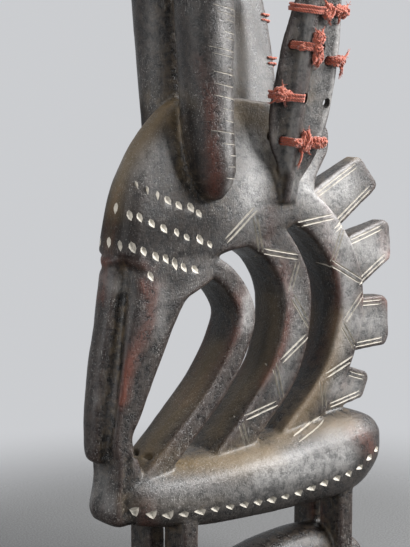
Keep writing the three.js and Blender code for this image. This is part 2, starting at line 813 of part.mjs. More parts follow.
function eyeSolid(side) {
  const geometry = new THREE.BoxGeometry(eyeDepth * 2, eyeWidth, eyeHeight);
  const half = headHalf(eyeAt[0], eyeAt[1]);
  const slant = Math.atan2(headHalf(eyeAt[0] + 1, eyeAt[1]) - headHalf(eyeAt[0] - 1, eyeAt[1]), 2);
  geometry.rotateZ(-side * (Math.PI / 2 - slant));
  geometry.translate(eyeAt[0], side * half, eyeAt[1]);
  return solid(geometry);
}

function carving() {
  let form = headSolid().add(noseSolid()).add(bodySolid());
  for (const bar of bars) {
    form = form.add(barSolid(bar));
  }
  for (const points of tabs) {
    form = form.add(tabSolid(points));
  }
  form = form.add(humpSolid()).add(plinthSolid());
  for (const side of [-1, 1]) {
    const hand = side < 0 ? 'left' : 'right';
    form = form.add(legSolid(frontLegX[hand], side)).add(legSolid(rearLegX[hand], side));
    form = form.subtract(eyeSolid(side));
    for (const cut of [...flankChips(side), ...browChips(side)]) {
      form = form.subtract(cut);
    }
    form = form.add(hornSolid(side)).add(earSolid(side, hand));
  }
  return form;
}

const headdress = new THREE.Group();
headdress.add(meshOf(carving(), wood, 'carved_headdress'));
for (const [side, name] of [[-1, 'left'], [1, 'right']]) {
  ties[name].forEach((tie, number) => {
    headdress.add(meshOf(tieSolid(side, tie), yarn, `${name}_ear_tie_${number + 1}`));
  });
}

export default headdress;
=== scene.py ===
import math
import random

import bmesh
import bpy
import numpy as np
from mathutils import Matrix, Vector, noise
from mathutils.bvhtree import BVHTree
from mathutils.kdtree import KDTree


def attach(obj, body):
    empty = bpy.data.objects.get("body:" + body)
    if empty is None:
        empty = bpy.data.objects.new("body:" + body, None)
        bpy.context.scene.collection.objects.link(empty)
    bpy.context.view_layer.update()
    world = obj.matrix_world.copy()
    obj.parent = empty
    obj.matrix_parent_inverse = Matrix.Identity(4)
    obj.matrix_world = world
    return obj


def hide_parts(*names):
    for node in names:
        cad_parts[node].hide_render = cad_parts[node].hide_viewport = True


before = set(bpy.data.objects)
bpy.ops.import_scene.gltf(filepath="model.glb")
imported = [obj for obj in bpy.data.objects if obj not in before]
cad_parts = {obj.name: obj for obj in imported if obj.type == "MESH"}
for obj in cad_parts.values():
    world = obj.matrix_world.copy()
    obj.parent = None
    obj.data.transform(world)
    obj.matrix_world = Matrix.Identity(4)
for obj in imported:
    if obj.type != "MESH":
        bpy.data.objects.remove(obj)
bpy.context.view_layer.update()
scene = bpy.context.scene
random.seed(11)
mm = 0.001
# lengths below are millimetres in the CAD frame: the animal faces -X, its left side is -Y
print("frame loaded")

# the photograph's camera: its image is 410 x 547 and the focal length is in its pixels
photo = {"azimuth": -38, "elevation": 7, "distance": 770, "target": (-24, 0, 190), "focal": 1400, "width": 410,
         "height": 547}


def wayTo(azimuth, elevation):
    # direction from the object toward a viewer or a lamp; azimuth 0 is the side -Y
    around, up = math.radians(azimuth), math.radians(elevation)
    return Vector((math.sin(around) * math.cos(up), -math.cos(around) * math.cos(up), math.sin(up)))


def makeCamera(sensor=36):
    back = wayTo(photo["azimuth"], photo["elevation"])
    data = bpy.data.cameras.new("camera")
    data.sensor_width = sensor
    data.lens = sensor * photo["focal"] / photo["height"]
    data.clip_start, data.clip_end = 0.05, 20
    camera = bpy.data.objects.new("camera", data)
    camera.location = (Vector(photo["target"]) + back * photo["distance"]) * mm
    camera.rotation_mode = "QUATERNION"
    camera.rotation_quaternion = (-back).to_track_quat("-Z", "Y")
    scene.collection.objects.link(camera)
    scene.camera = camera
    return camera.location.copy(), camera.rotation_quaternion.copy()


eyePlace, eyeTurn = makeCamera()
sides = {-1: "left", 1: "right"}


def fromPhoto(tree, pixel):
    # where the line of sight through a pixel of the photograph meets the wood
    way = Vector((pixel[0] - photo["width"] / 2, photo["height"] / 2 - pixel[1], -photo["focal"])).normalized()
    place, normal, _, _ = tree.ray_cast(eyePlace, eyeTurn @ way)
    return place, normal


def alongRows(rows, place):
    # smooth value of every column between the rows, with no overshoot
    rows = np.asarray(rows, float)
    keys, values = rows[:, 0], rows[:, 1:]
    gaps = np.diff(keys)
    slopes = np.diff(values, axis=0) / gaps[:, None]
    low = int(np.clip(np.searchsorted(keys, place) - 1, 0, len(keys) - 2))

    def tangent(at):
        before, after = slopes[max(at - 1, 0)], slopes[min(at, len(slopes) - 1)]
        same = before * after > 0
        return np.where(same, 2 * before * after / np.where(same, before + after, 1), 0)

    t = float(np.clip((place - keys[low]) / gaps[low], 0, 1))
    rise, settle = 3 * t ** 2 - 2 * t ** 3, gaps[low] * (t ** 3 - 2 * t ** 2 + t)
    return (values[low] * (1 - rise) + values[low + 1] * rise
            + tangent(low) * settle + tangent(low + 1) * gaps[low] * (t ** 3 - t ** 2))


def throughPoints(points, steps, closed=False):
    # smooth line through points, with so many steps to each stretch
    points = [np.asarray(point, float) for point in points]
    count = len(points)
    stretches = count if closed else count - 1

    def at(number):
        if closed:
            return points[number % count]
        if number < 0:
            return 2 * points[0] - points[1]
        if number >= count:
            return 2 * points[-1] - points[-2]
        return points[number]

    line = []
    for number in range(stretches):
        a, b, c, d = (at(number + k) for k in (-1, 0, 1, 2))
        ab, bc, cd = (max(np.linalg.norm(q - p) ** 0.5, 1e-4) for p, q in ((a, b), (b, c), (c, d)))
        leave = bc * ((b - a) / ab - (c - a) / (ab + bc) + (c - b) / bc)
        arrive = bc * ((c - b) / bc - (d - b) / (bc + cd) + (d - c) / cd)
        for step in range(steps):
            t = step / steps
            line.append(b * (2 * t ** 3 - 3 * t ** 2 + 1) + leave * (t ** 3 - 2 * t ** 2 + t)
                        + c * (3 * t ** 2 - 2 * t ** 3) + arrive * (t ** 3 - t ** 2))
    if not closed:
        line.append(points[-1])
    return np.array(line)


def evenly(line, count):
    # the same line with evenly spaced points
    spans = np.linalg.norm(np.diff(line, axis=0), axis=1)
    reach = np.concatenate([[0], np.cumsum(spans)])
    places = np.linspace(0, reach[-1], count)
    return np.stack([np.interp(places, reach, line[:, k]) for k in range(line.shape[1])], axis=1)


def vertsOf(geometry):
    return [part for part in geometry if isinstance(part, bmesh.types.BMVert)]


def rounded(bm, edges, radius, segments, clamp=False):
    return bmesh.ops.bevel(bm, geom=edges, offset=radius * mm, segments=segments, profile=0.5, affect="EDGES",
                           clamp_overlap=clamp, material=-1)


def tangentsOf(line):
    steps = np.gradient(line, axis=0)
    return steps / np.linalg.norm(steps, axis=1)[:, None]


def sweepRings(bm, rings, closed=False):
    # tube through rings of equal length: a circle that is extruded from ring to ring
    ring = bmesh.ops.create_circle(bm, segments=len(rings[0]), radius=1)["verts"]
    first = list(ring)
    for vert, place in zip(ring, rings[0]):
        vert.co = Vector(place) * mm
    for places in rings[1:]:
        edges = [bm.edges.get((ring[k - 1], ring[k])) for k in range(len(ring))]
        grown = bmesh.ops.extrude_edge_only(bm, edges=edges)["geom"]
        old = set(ring)
        partner = {}
        for vert in vertsOf(grown):
            for edge in vert.link_edges:
                if edge.other_vert(vert) in old:
                    partner[edge.other_vert(vert)] = vert
        ring = [partner[vert] for vert in ring]
        for vert, place in zip(ring, places):
            vert.co = Vector(place) * mm
    if closed:
        loops = [bm.edges.get((side[k - 1], side[k])) for side in (first, ring) for k in range(len(ring))]
        bmesh.ops.bridge_loops(bm, edges=loops)
    else:
        bm.faces.new(first)
        bm.faces.new(ring)
    return first


def islandOf(start):
    # the points of one closed form, from any of them
    island, rim = set(), {start}
    while rim:
        island |= rim
        rim = {other for here in rim for edge in here.link_edges for other in edge.verts} - island
    return island


def turnOutward(bm, start):
    # one closed form, by the sign of its volume
    faces = list({face for here in islandOf(start) for face in here.link_faces})
    bm.normal_update()
    bmesh.ops.recalc_face_normals(bm, faces=faces)
    corners = [[here.co for here in face.verts] for face in faces]
    if sum(ring[0].dot(a.cross(b)) for ring in corners for a, b in zip(ring[1:], ring[2:])) < 0:
        bmesh.ops.reverse_faces(bm, faces=faces)


def objectFrom(bm, name):
    mesh = bpy.data.meshes.new(name)
    bm.to_mesh(mesh)
    bm.free()
    made = bpy.data.objects.new(name, mesh)
    scene.collection.objects.link(made)
    return made


def formFrom(bm, name):
    bmesh.ops.recalc_face_normals(bm, faces=bm.faces)
    return objectFrom(bm, name)


def applyModifiers(made):
    bpy.context.view_layer.update()
    solved = bpy.data.meshes.new_from_object(made.evaluated_get(bpy.context.evaluated_depsgraph_get()))
    made.modifiers.clear()
    old = made.data
    made.data = solved
    bpy.data.meshes.remove(old)


# Head: level slices. Height, front, back, half width in front, half width behind, depth of the front corners.
# Here and below a section is drawn through points at fixed shares of such widths and depths
head = {
    "rows": [
        [60.5, -90, -77, 9, 9, 3], [63, -94, -75, 11.5, 11.5, 3], [69, -95.8, -72, 12.5, 12.5, 3.5],
        [81, -93.2, -72, 12.8, 12.8, 3.5], [92, -92.4, -75, 12.6, 12.6, 3], [107, -95.2, -79.5, 12.4, 12.4, 3],
        [120, -94.6, -73.5, 12.8, 12.8, 3], [136, -92, -67, 13.8, 13.8, 3], [152, -89.5, -60, 14.6, 14.6, 3.4],
        [171, -86, -51, 15.7, 15.7, 4.4], [180, -84.4, -45, 16.2, 16, 5.2], [184, -83.8, -36, 16.4, 15.5, 5.6],
        [189, -83.4, -27, 16.6, 14.5, 5.8], [201, -83, -23.5, 16.6, 13.4, 6], [203, -84.5, -14, 16.6, 13.2, 7],
        [205, -87.6, 6, 16.6, 13, 9], [211, -87.3, 24, 16.4, 13, 10], [220, -85.8, 40, 16, 13, 10],
        [230, -83.8, 47, 15.2, 13, 10], [239, -81, 49, 14.4, 12, 10], [249, -76.8, 57, 13, 9.2, 10],
        [258, -72.2, 63, 11.4, 7, 10], [266, -66.8, 63.5, 10, 6.2, 10], [273, -60.8, 56, 8.8, 6, 9],
        [279, -54.6, 41, 7.6, 5.8, 9], [284, -47, 14, 6.4, 5.4, 8], [287, -38, -16, 4.6, 4.6, 5],
    ],
    "flat": 0.5,
    "backDepth": 4.5,
    "step": 2.5,
    # rib down the middle of the nose: height, front, half width
    "nose": [[95, -97.6, 3.6], [96.5, -100, 5.4], [99, -101.5, 6.2], [106, -102.4, 6.6], [118, -102.3, 6.8],
             [134, -100.5, 7.1], [150, -98.6, 7.4], [166, -95.4, 7.6], [182, -92.8, 7.8], [204, -88.8, 8.2],
             [207, -84.5, 8.2]],
    "noseDepth": 14,
}


def mirrored(half):
    return [(x, -y) for x, y in half] + [(x, y) for x, y in reversed(half)]


def headForm(bm):
    rows = head["rows"]
    heights = np.arange(rows[0][0], rows[-1][0] + 0.1, head["step"])
    rings = []
    for height in heights:
        front, back, halfFront, halfBack, depth = alongRows(rows, height)
        corner = back - head["backDepth"]
        half = [
            (front, halfFront * head["flat"]), (front + depth * 0.35, halfFront * 0.82),
            (front + depth, halfFront), ((front + depth + corner) / 2, (halfFront + halfBack) / 2),
            (corner, halfBack), (back - head["backDepth"] * 0.3, halfBack * 0.85), (back, halfBack * head["flat"]),
        ]
        loop = throughPoints(mirrored(half), 4, closed=True)
        rings.append([(x, y, height) for x, y in loop])
    sweepRings(bm, rings)
    rings = []
    for height in np.linspace(head["nose"][0][0], head["nose"][-1][0], 50):
        front, half = alongRows(head["nose"], height)
        side = [(front, half * 0.4), (front + half * 0.28, half * 0.86), (front + half, half),
                (front + head["noseDepth"], half)]
        loop = throughPoints(mirrored(side), 4, closed=True)
        rings.append([(x, y, height) for x, y in loop])
    sweepRings(bm, rings)


# Body: upright slices. Place along it, heights of belly, widest line and top, half widths at the three
body = {
    "rows": [
        [-87, 63, 74, 82, 8, 11.5, 9], [-82, 60.5, 73, 86, 11, 15.5, 10], [-73, 58, 72, 88, 14, 19, 11],
        [-55, 55, 72, 89, 17, 23, 12.5], [-25, 52.5, 73, 92, 19.5, 26.5, 14], [15, 52, 75, 96, 21, 28.5, 15.5],
        [50, 52, 77, 101, 21, 28.5, 17], [74, 54, 79, 101.5, 19, 26.5, 17], [90, 60, 81, 98, 14.5, 21.5, 14],
        [99, 68, 82, 93, 8.5, 14, 9], [103, 76, 82, 88, 3, 6, 3.5],
    ],
    "step": 3,
}


def bodyForm(bm):
    rows = body["rows"]
    rings = []
    for x in np.append(np.arange(rows[0][0], rows[-1][0], body["step"]), rows[-1][0]):
        belly, middle, top, halfBelly, halfMiddle, halfTop = alongRows(rows, x)
        half = [
            (halfBelly * 0.55, belly), (halfBelly, belly + (middle - belly) * 0.12),
            (halfMiddle * 0.94, belly + (middle - belly) * 0.55), (halfMiddle, middle),
            (halfMiddle * 0.88 + halfTop * 0.12, middle + (top - middle) * 0.5),
            (halfTop, top - (top - middle) * 0.1), (halfTop * 0.5, top),
        ]
        loop = throughPoints([(-y, z) for y, z in half] + [(y, z) for y, z in reversed(half)], 4, closed=True)
        rings.append([(x, y, z) for y, z in loop])
    sweepRings(bm, rings)


# Neck: three bars by their middle lines from head to body, and the tabs on the last one
neck = {
    "bars": [
        {"line": [(-38, 201), (-16, 187), (-4.2, 168), (-7.4, 154), (-22.2, 130), (-45.5, 106), (-68, 85), (-82, 72)],
         "thickness": [[0, 12], [0.5, 12.8], [1, 12.4]]},
        {"line": [(2, 214), (18, 203.5), (30.5, 184), (33, 164), (25, 134), (4, 109), (-17, 89), (-34, 73)],
         "thickness": [[0, 22], [0.5, 21.2], [1, 15]]},
        {"line": [(32, 228), (54, 212), (71, 188), (75.4, 164), (66, 131), (46, 107), (25, 89), (8, 74)],
         "thickness": [[0, 22], [0.5, 19.5], [1, 16]]},
    ],
    "width": 27.6,
    "edge": 2.6,
    "crown": 0.7,
    "stations": 56,
    "tabs": [
        [(46, 232), (53, 235.5), (86.5, 251.5), (90, 250.4), (103.5, 235.5), (102.5, 232), (66, 209)],
        [(72, 201.5), (80.5, 206), (109, 213.2), (114, 210.8), (115.6, 200), (115.3, 189.5), (86, 174)],
        [(80, 168.2), (87, 168.2), (110.4, 167.2), (114.3, 163.5), (115.4, 141.5), (112, 136.5), (80, 136)],
        [(74, 129), (82, 126.2), (96.3, 121.7), (98.9, 117.8), (93.6, 106.1), (67, 102.3), (58, 103)],
    ],
    "tabThickness": 17,
    "tabTipThickness": 9,
    "tabCorner": 1.7,
    "tabEdge": 1.5,
}


def postSection(halfThickness, halfWidth, edge, crown, steps=5):
    # rounded rectangle whose front and rear faces are slightly full
    points = []
    for quarter, (a, b) in enumerate(((1, 1), (-1, 1), (-1, -1), (1, -1))):
        for step in range(steps):
            angle = math.pi / 2 * (quarter + step / (steps - 1))
            points.append((a * (halfThickness - edge) + edge * math.cos(angle),
                           b * (halfWidth - edge) + edge * math.sin(angle)))
        if quarter in (0, 2):   # side faces are flat
            points.append((0, b * halfWidth))
        else:
            points.append((a * (halfThickness + crown), 0))
    return points


def barForm(bm, bar):
    line = evenly(throughPoints(bar["line"], 8), neck["stations"])
    rings = []
    for number, (place, onward) in enumerate(zip(line, tangentsOf(line))):
        share = number / (neck["stations"] - 1)
        half = alongRows(bar["thickness"], share)[0] / 2
        across = (-onward[1], onward[0])
        section = postSection(half, neck["width"] / 2, neck["edge"], neck["crown"])
        rings.append([(place[0] + across[0] * a, b, place[1] + across[1] * a) for a, b in section])
    sweepRings(bm, rings)


def tabForm(bm, outline):
    half = neck["tabThickness"] / 2
    flat = bmesh.ops.create_circle(bm, cap_ends=True, segments=len(outline), radius=1)["verts"]
    for vert, (x, z) in zip(flat, outline):
        vert.co = Vector((x, -half, z)) * mm
    face = flat[0].link_faces[0]
    grown = bmesh.ops.extrude_face_region(bm, geom=[face], use_keep_orig=True)["geom"]
    far = vertsOf(grown)
    bmesh.ops.translate(bm, verts=far, vec=(0, 2 * half * mm, 0))
    posts = [edge for vert in flat for edge in vert.link_edges if edge.other_vert(vert) in far]
    rounded(bm, posts, neck["tabCorner"], 4, clamp=True)
    rims = [edge for edge in bm.edges if abs(edge.verts[0].co.y - edge.verts[1].co.y) < 1e-7]
    rounded(bm, rims, neck["tabEdge"], 3, clamp=True)
    # thinner the further it stands out from the line between its root corners
    top, low = Vector(outline[0]), Vector(outline[-1])
    along = (low - top).normalized()

    def reach(x, z):
        return abs((x - top.x) * along.y - (z - top.y) * along.x)

    furthest = max(reach(x, z) for x, z in outline)
    for vert in bm.verts:
        share = reach(vert.co.x / mm, vert.co.z / mm) / furthest
        vert.co.y *= 1 + (neck["tabTipThickness"] / neck["tabThickness"] - 1) * share


# Horns: middle line of the left one in side view, and radius by share of its length
horn = {
    "line": [(-31.3, 232), (-32.5, 242), (-35.5, 262), (-37.2, 285), (-39, 335), (-39, 400), (-31, 480), (-11, 565),
             (16, 640), (32, 676)],
    "radius": [[0, 4], [0.012, 9], [0.03, 12.6], [0.06, 14], [0.12, 14.3], [0.33, 17.5], [0.62, 14.5],
               [0.9, 6.6], [0.975, 3.6], [0.99, 2.6], [1, 0.8]],
    "spacing": 35.5,
    "spread": 22,
    "flare": 1.5,
    "stations": 150,
    "sides": 36,
}


def hornLine(side):
    flat = evenly(throughPoints(horn["line"], 10), horn["stations"])
    shares = np.linspace(0, 1, horn["stations"])
    y = side * (horn["spacing"] / 2 + horn["spread"] / 2 * shares ** horn["flare"])
    return np.stack([flat[:, 0], y, flat[:, 1]], axis=1), shares


def hornForm(bm, side):
    line, shares = hornLine(side)
    rings = []
    for place, onward, share in zip(line, tangentsOf(line), shares):
        radius = alongRows(horn["radius"], share)[0]
        sideways = np.array([0, 1, 0]) - onward * onward[1]
        sideways /= np.linalg.norm(sideways)
        forward = np.cross(sideways, onward)
        angles = np.linspace(0, 2 * math.pi, horn["sides"], endpoint=False)
        rings.append([place + radius * (math.cos(a) * forward + math.sin(a) * sideways) for a in angles])
    sweepRings(bm, rings)


# Ears: leaf blades. Share of the length, width before and behind the rib
ear = {
    "base": (22, -16.2, 240),
    "length": 160,
    "edge": 3.4,
    "middle": 6.5,
    "ribHigh": 4.2,
    "ribWide": 7.8,
    # where the rib's top begins, as a share of its half width
    "ribShoulder": 0.75,
    "turn": 4,
    "leanOut": 10,
    "leanBack": 1.9,
    "foot": 12,
    "stations": 60,
    "rows": [
        [0, 4.7, 8.6], [0.03, 6, 11.6], [0.065, 8.3, 15.4], [0.1, 12, 17.8], [0.16, 16, 20.8], [0.24, 17.6, 22.8],
        [0.36, 16.5, 23.3], [0.47, 15.5, 22.7], [0.58, 12.3, 20.6], [0.7, 8.4, 16.6], [0.82, 5.7, 11.8],
        [0.92, 3.4, 6.8], [0.98, 1.9, 3.4], [1, 0.6, 1],
    ],
    # holes without a tie: distance along the ear, place across it
    "openHoles": {"left": [(44.6, 18)], "right": []},
    "holeRadius": 2.9,
}


def earFrame(side):
    # ways up, out of the outer face and across toward the rear edge, and the foot of the middle line
    turn = math.radians(ear["turn"])
    up = Vector((math.tan(math.radians(ear["leanBack"])), side * math.tan(math.radians(ear["leanOut"])), 1))
    up.normalize()
    face = Vector((-math.sin(turn), side * math.cos(turn), 0))
    face = (face - up * face.dot(up)).normalized()
    across = Vector((math.cos(turn), side * math.sin(turn), 0))
    across -= up * across.dot(up)
    across = (across - face * across.dot(face)).normalized()
    base = Vector((ear["base"][0], -side * ear["base"][1], ear["base"][2]))
    return up, face, across, base


def earPoint(side, length, width, out):
    up, face, across, base = earFrame(side)
    return base + up * length + across * width + face * out


def earWidths(length):
    return alongRows(ear["rows"], length / ear["length"])


def earSection(length):
    # (across, out): nine points over the outer face, the rest over the inner one
    before, behind = earWidths(max(length, 0))
    slim = min(1, (before + behind) / (2 * ear["ribWide"]))
    rib, high = ear["ribWide"] / 2 * slim, ear["ribHigh"] * slim
    edge, deep = ear["edge"] * (1 + slim) / 2, ear["middle"] * slim
    brink = rib + (behind - rib) * 0.8
    return [
        (-before, -1.3 * slim), (-(before + rib) / 2, -0.7 * slim), (-rib, 0.7 * slim),
        (-rib * ear["ribShoulder"], high), (rib * 0.35, high * 0.88), (rib, 1.5 * slim),
        ((behind + rib) / 2, 1.4 * slim), (brink, 0.9 * slim), (behind, -1.4 * slim),
        (behind, -edge), (behind / 2, -deep * 0.85), (0, -deep), (-before / 2, -deep * 0.8), (-before, -edge),
    ]


def earSurface(length, width, outer):
    section = earSection(length)
    line = section[:9] if outer else section[9:][::-1]
    return float(np.interp(width, [point[0] for point in line], [point[1] for point in line]))


def earForm(bm, side):
    rings = []
    for length in np.append(-ear["foot"], np.linspace(0, ear["length"], ear["stations"])):
        section = throughPoints(earSection(length), 3, closed=True)
        rings.append([earPoint(side, length, width, out) for width, out in section])
    sweepRings(bm, rings)


# Legs, hump and plinth
base = {
    "length": 190, "width": 68, "thickness": 12, "corner": 18, "edge": 2.5,
    "legs": [(-49.5, -1), (-55.5, 1), (66, -1), (66, 1)],
    "legWidth": 18.5, "legDepth": 11, "legGap": 5, "legEdge": 1.8, "legTop": 60,
    "hump": [[-34, 1], [-22, 9], [0, 16], [22, 20.5], [46, 22.5], [66, 20], [80, 13], [89, 4], [91, 1]],
    "humpWidth": 34,
}


def legForm(bm, x, side):
    y = side * (base["legGap"] + base["legWidth"]) / 2
    section = postSection(base["legDepth"] / 2, base["legWidth"] / 2, base["legEdge"], 0.3)
    rings = [[(x + a, y + b, z) for a, b in section] for z in (base["thickness"] - 4, 30, 45, base["legTop"])]
    sweepRings(bm, rings)


def humpForm(bm):
    low, high = base["hump"][0][0], base["hump"][-1][0]
    rings = []
    for x in np.linspace(low, high, 50):
        rise = alongRows(base["hump"], x)[0]
        half = base["humpWidth"] / 2 * min(1, 0.45 + rise / 20)
        angles = np.linspace(0, math.pi, 19)
        ring = [(x, half * math.copysign(abs(math.cos(a)) ** 0.8, math.cos(a)),
                 base["thickness"] + rise * max(math.sin(a), 0) ** 0.8) for a in angles]
        rings.append(ring + [(x, -half, base["thickness"] - 4), (x, half, base["thickness"] - 4)])
    sweepRings(bm, rings)


def plinthForm(bm):
    made = bmesh.ops.create_cube(bm, size=1)["verts"]
    bmesh.ops.scale(bm, vec=(base["length"] * mm, base["width"] * mm, base["thickness"] * mm), verts=made)
    bmesh.ops.translate(bm, vec=(0, 0, base["thickness"] / 2 * mm), verts=made)
    edges = {edge for vert in made for edge in vert.link_edges}
    posts = [edge for edge in edges if abs(edge.verts[0].co.z - edge.verts[1].co.z) > 1e-4]
    verts = {vert for face in rounded(bm, posts, base["corner"], 8)["faces"] for vert in face.verts}
    rims = [edge for vert in verts for edge in vert.link_edges
            if abs(edge.verts[0].co.z - edge.verts[1].co.z) < 1e-6]
    rims = [edge for edge in set(rims) if abs(edge.verts[0].co.z - base["thickness"] * mm) < 1e-5]
    rounded(bm, rims, base["edge"], 4)


def woodForms():
    bm = bmesh.new()
    headForm(bm)
    bodyForm(bm)
    for bar in neck["bars"]:
        barForm(bm, bar)
    for side in (-1, 1):
        hornForm(bm, side)
        earForm(bm, side)
    for x, side in base["legs"]:
        legForm(bm, x, side)
    humpForm(bm)
    pieces = [formFrom(bm, "forms")]
    for outline in neck["tabs"]:
        bm = bmesh.new()
        tabForm(bm, outline)
        pieces.append(formFrom(bm, "tab"))
    bm = bmesh.new()
    plinthForm(bm)
    pieces.append(formFrom(bm, "plinth"))
    bm = bmesh.new()
    for piece in pieces:
        bm.from_mesh(piece.data)
        bpy.data.objects.remove(piece)
    return objectFrom(bm, "carvedWood")


def surfaceTree(made):
    bpy.context.view_layer.update()
    return BVHTree.FromObject(made, bpy.context.evaluated_depsgraph_get())


# Carving: one skin over all forms, relaxed so that they run into each other, then thinned
carving = {
    "voxel": 1.0,
    "relax": 14,
    "unevenness": 0.28,
    "unevenLength": 16,
    "keep": 0.21,
    # steps that average the surface around a point, and that settle the result
    "spread": 14,
    "settle": 4,
}


def readMesh(mesh):
    places = np.empty(len(mesh.vertices) * 3)
    mesh.vertices.foreach_get("co", places)
    edges = np.empty(len(mesh.edges) * 2, int)
    mesh.edges.foreach_get("vertices", edges)
    return places.reshape(-1, 3), edges.reshape(-1, 2)


def placePoints(mesh, places):
    mesh.vertices.foreach_set("co", places.ravel())
    mesh.update()


def neighbourMean(values, edges, degree):
    total = np.empty_like(values)
    for k in range(values.shape[1]):
        total[:, k] = (np.bincount(edges[:, 0], values[edges[:, 1], k], len(values))
                       + np.bincount(edges[:, 1], values[edges[:, 0], k], len(values)))
    return total / degree[:, None]


def relaxed(places, edges, times, inward=0.5, outward=-0.52):
    # smooths without shrinking: each step in is followed by a step out
    degree = np.bincount(edges.ravel(), minlength=len(places)).astype(float)
    for _ in range(times):
        places = places + inward * (neighbourMean(places, edges, degree) - places)
        places = places + outward * (neighbourMean(places, edges, degree) - places)
    return places


def normalsOf(mesh):
    normals = np.empty(len(mesh.vertices) * 3)
    mesh.vertices.foreach_get("normal", normals)
    return normals.reshape(-1, 3)


def skinOver(forms):
    remesh = forms.modifiers.new("skin", "REMESH")
    remesh.mode = "VOXEL"
    remesh.voxel_size = carving["voxel"] * mm
    remesh.use_smooth_shade = True
    applyModifiers(forms)
    mesh = forms.data
    places, edges = readMesh(mesh)
    places = relaxed(places, edges, carving["relax"])
    placePoints(mesh, places)
    # hand-cut unevenness
    normals = normalsOf(mesh)
    wave = 1 / (carving["unevenLength"] * mm)
    lift = np.array([noise.noise(Vector(place) * wave) + 0.4 * noise.noise(Vector(place) * wave * 2.7)
                     for place in places])
    flat = places[:, 2] > 0.4 * mm   # the underside stays flat to stand on
    places = places + normals * (lift * carving["unevenness"] * mm * flat)[:, None]
    places[:, 2] = np.maximum(places[:, 2], 0)
    placePoints(mesh, places)
    return forms


def measureSurface(mesh):
    # how far each point stands out from the surface around it, in millimetres
    places, edges = readMesh(mesh)
    degree = np.bincount(edges.ravel(), minlength=len(places)).astype(float)
    spread = places.copy()
    for _ in range(carving["spread"]):
        spread = neighbourMean(spread, edges, degree)
    bend = ((places - spread) * normalsOf(mesh)).sum(axis=1) / mm
    for _ in range(carving["settle"]):
        bend = neighbourMean(bend[:, None], edges, degree)[:, 0]
    return places, bend


def thinned(made, keep):
    decimate = made.modifiers.new("thin", "DECIMATE")
    decimate.ratio = keep
    applyModifiers(made)


# Strokes of the gouge, by pixels of the photograph that they pass through; a negative depth is a ridge
strokes = [
    {"through": [(122, 298), (119, 340), (116, 380), (112, 420), (105, 456)], "width": 2.6, "depth": 1.7},
    {"through": [(112, 268), (122, 268), (140, 273)], "width": 2.2, "depth": 0.9},
    {"through": [(114, 470), (108, 490), (102, 512)], "width": 2.0, "depth": -0.7},
    {"through": [(129, 462), (127, 480), (126, 500), (127, 514)], "width": 2.4, "depth": 1.3},
    {"through": [(135, 452), (135.5, 455)], "width": 1.5, "depth": 3.0},
    {"through": [(104, 262), (112, 260), (124, 260), (140, 264)], "width": 2.4, "depth": -0.9},
]


def carve(made, tree):
    mesh = made.data
    places, _ = readMesh(mesh)
    normals = normalsOf(mesh)
    push = np.zeros(len(places))
    for stroke in strokes:
        found = [fromPhoto(tree, pixel)[0] for pixel in stroke["through"]]
        line = evenly(throughPoints([place for place in found if place is not None], 4), 50)
        reach = stroke["width"] * mm
        for side in (1, -1):   # the other side is carved the same
            turned = line * (1, side, 1)
            near = np.all((places > turned.min(axis=0) - 3 * reach) & (places < turned.max(axis=0) + 3 * reach), axis=1)
            close = np.where(near)[0]
            gap = np.linalg.norm(places[close][:, None] - turned[None], axis=2).min(axis=1)
            push[close] -= stroke["depth"] * mm * np.exp(-(gap / reach) ** 2)
    placePoints(mesh, places + normals * push[:, None])


wood = skinOver(woodForms())
carve(wood, surfaceTree(wood))
print("skin over the forms:", len(wood.data.vertices), "points")
surfacePlaces, surfaceBend = measureSurface(wood.data)
thinned(wood, carving["keep"])
print("thinned:", sum(len(face.vertices) - 2 for face in wood.data.polygons), "triangles")


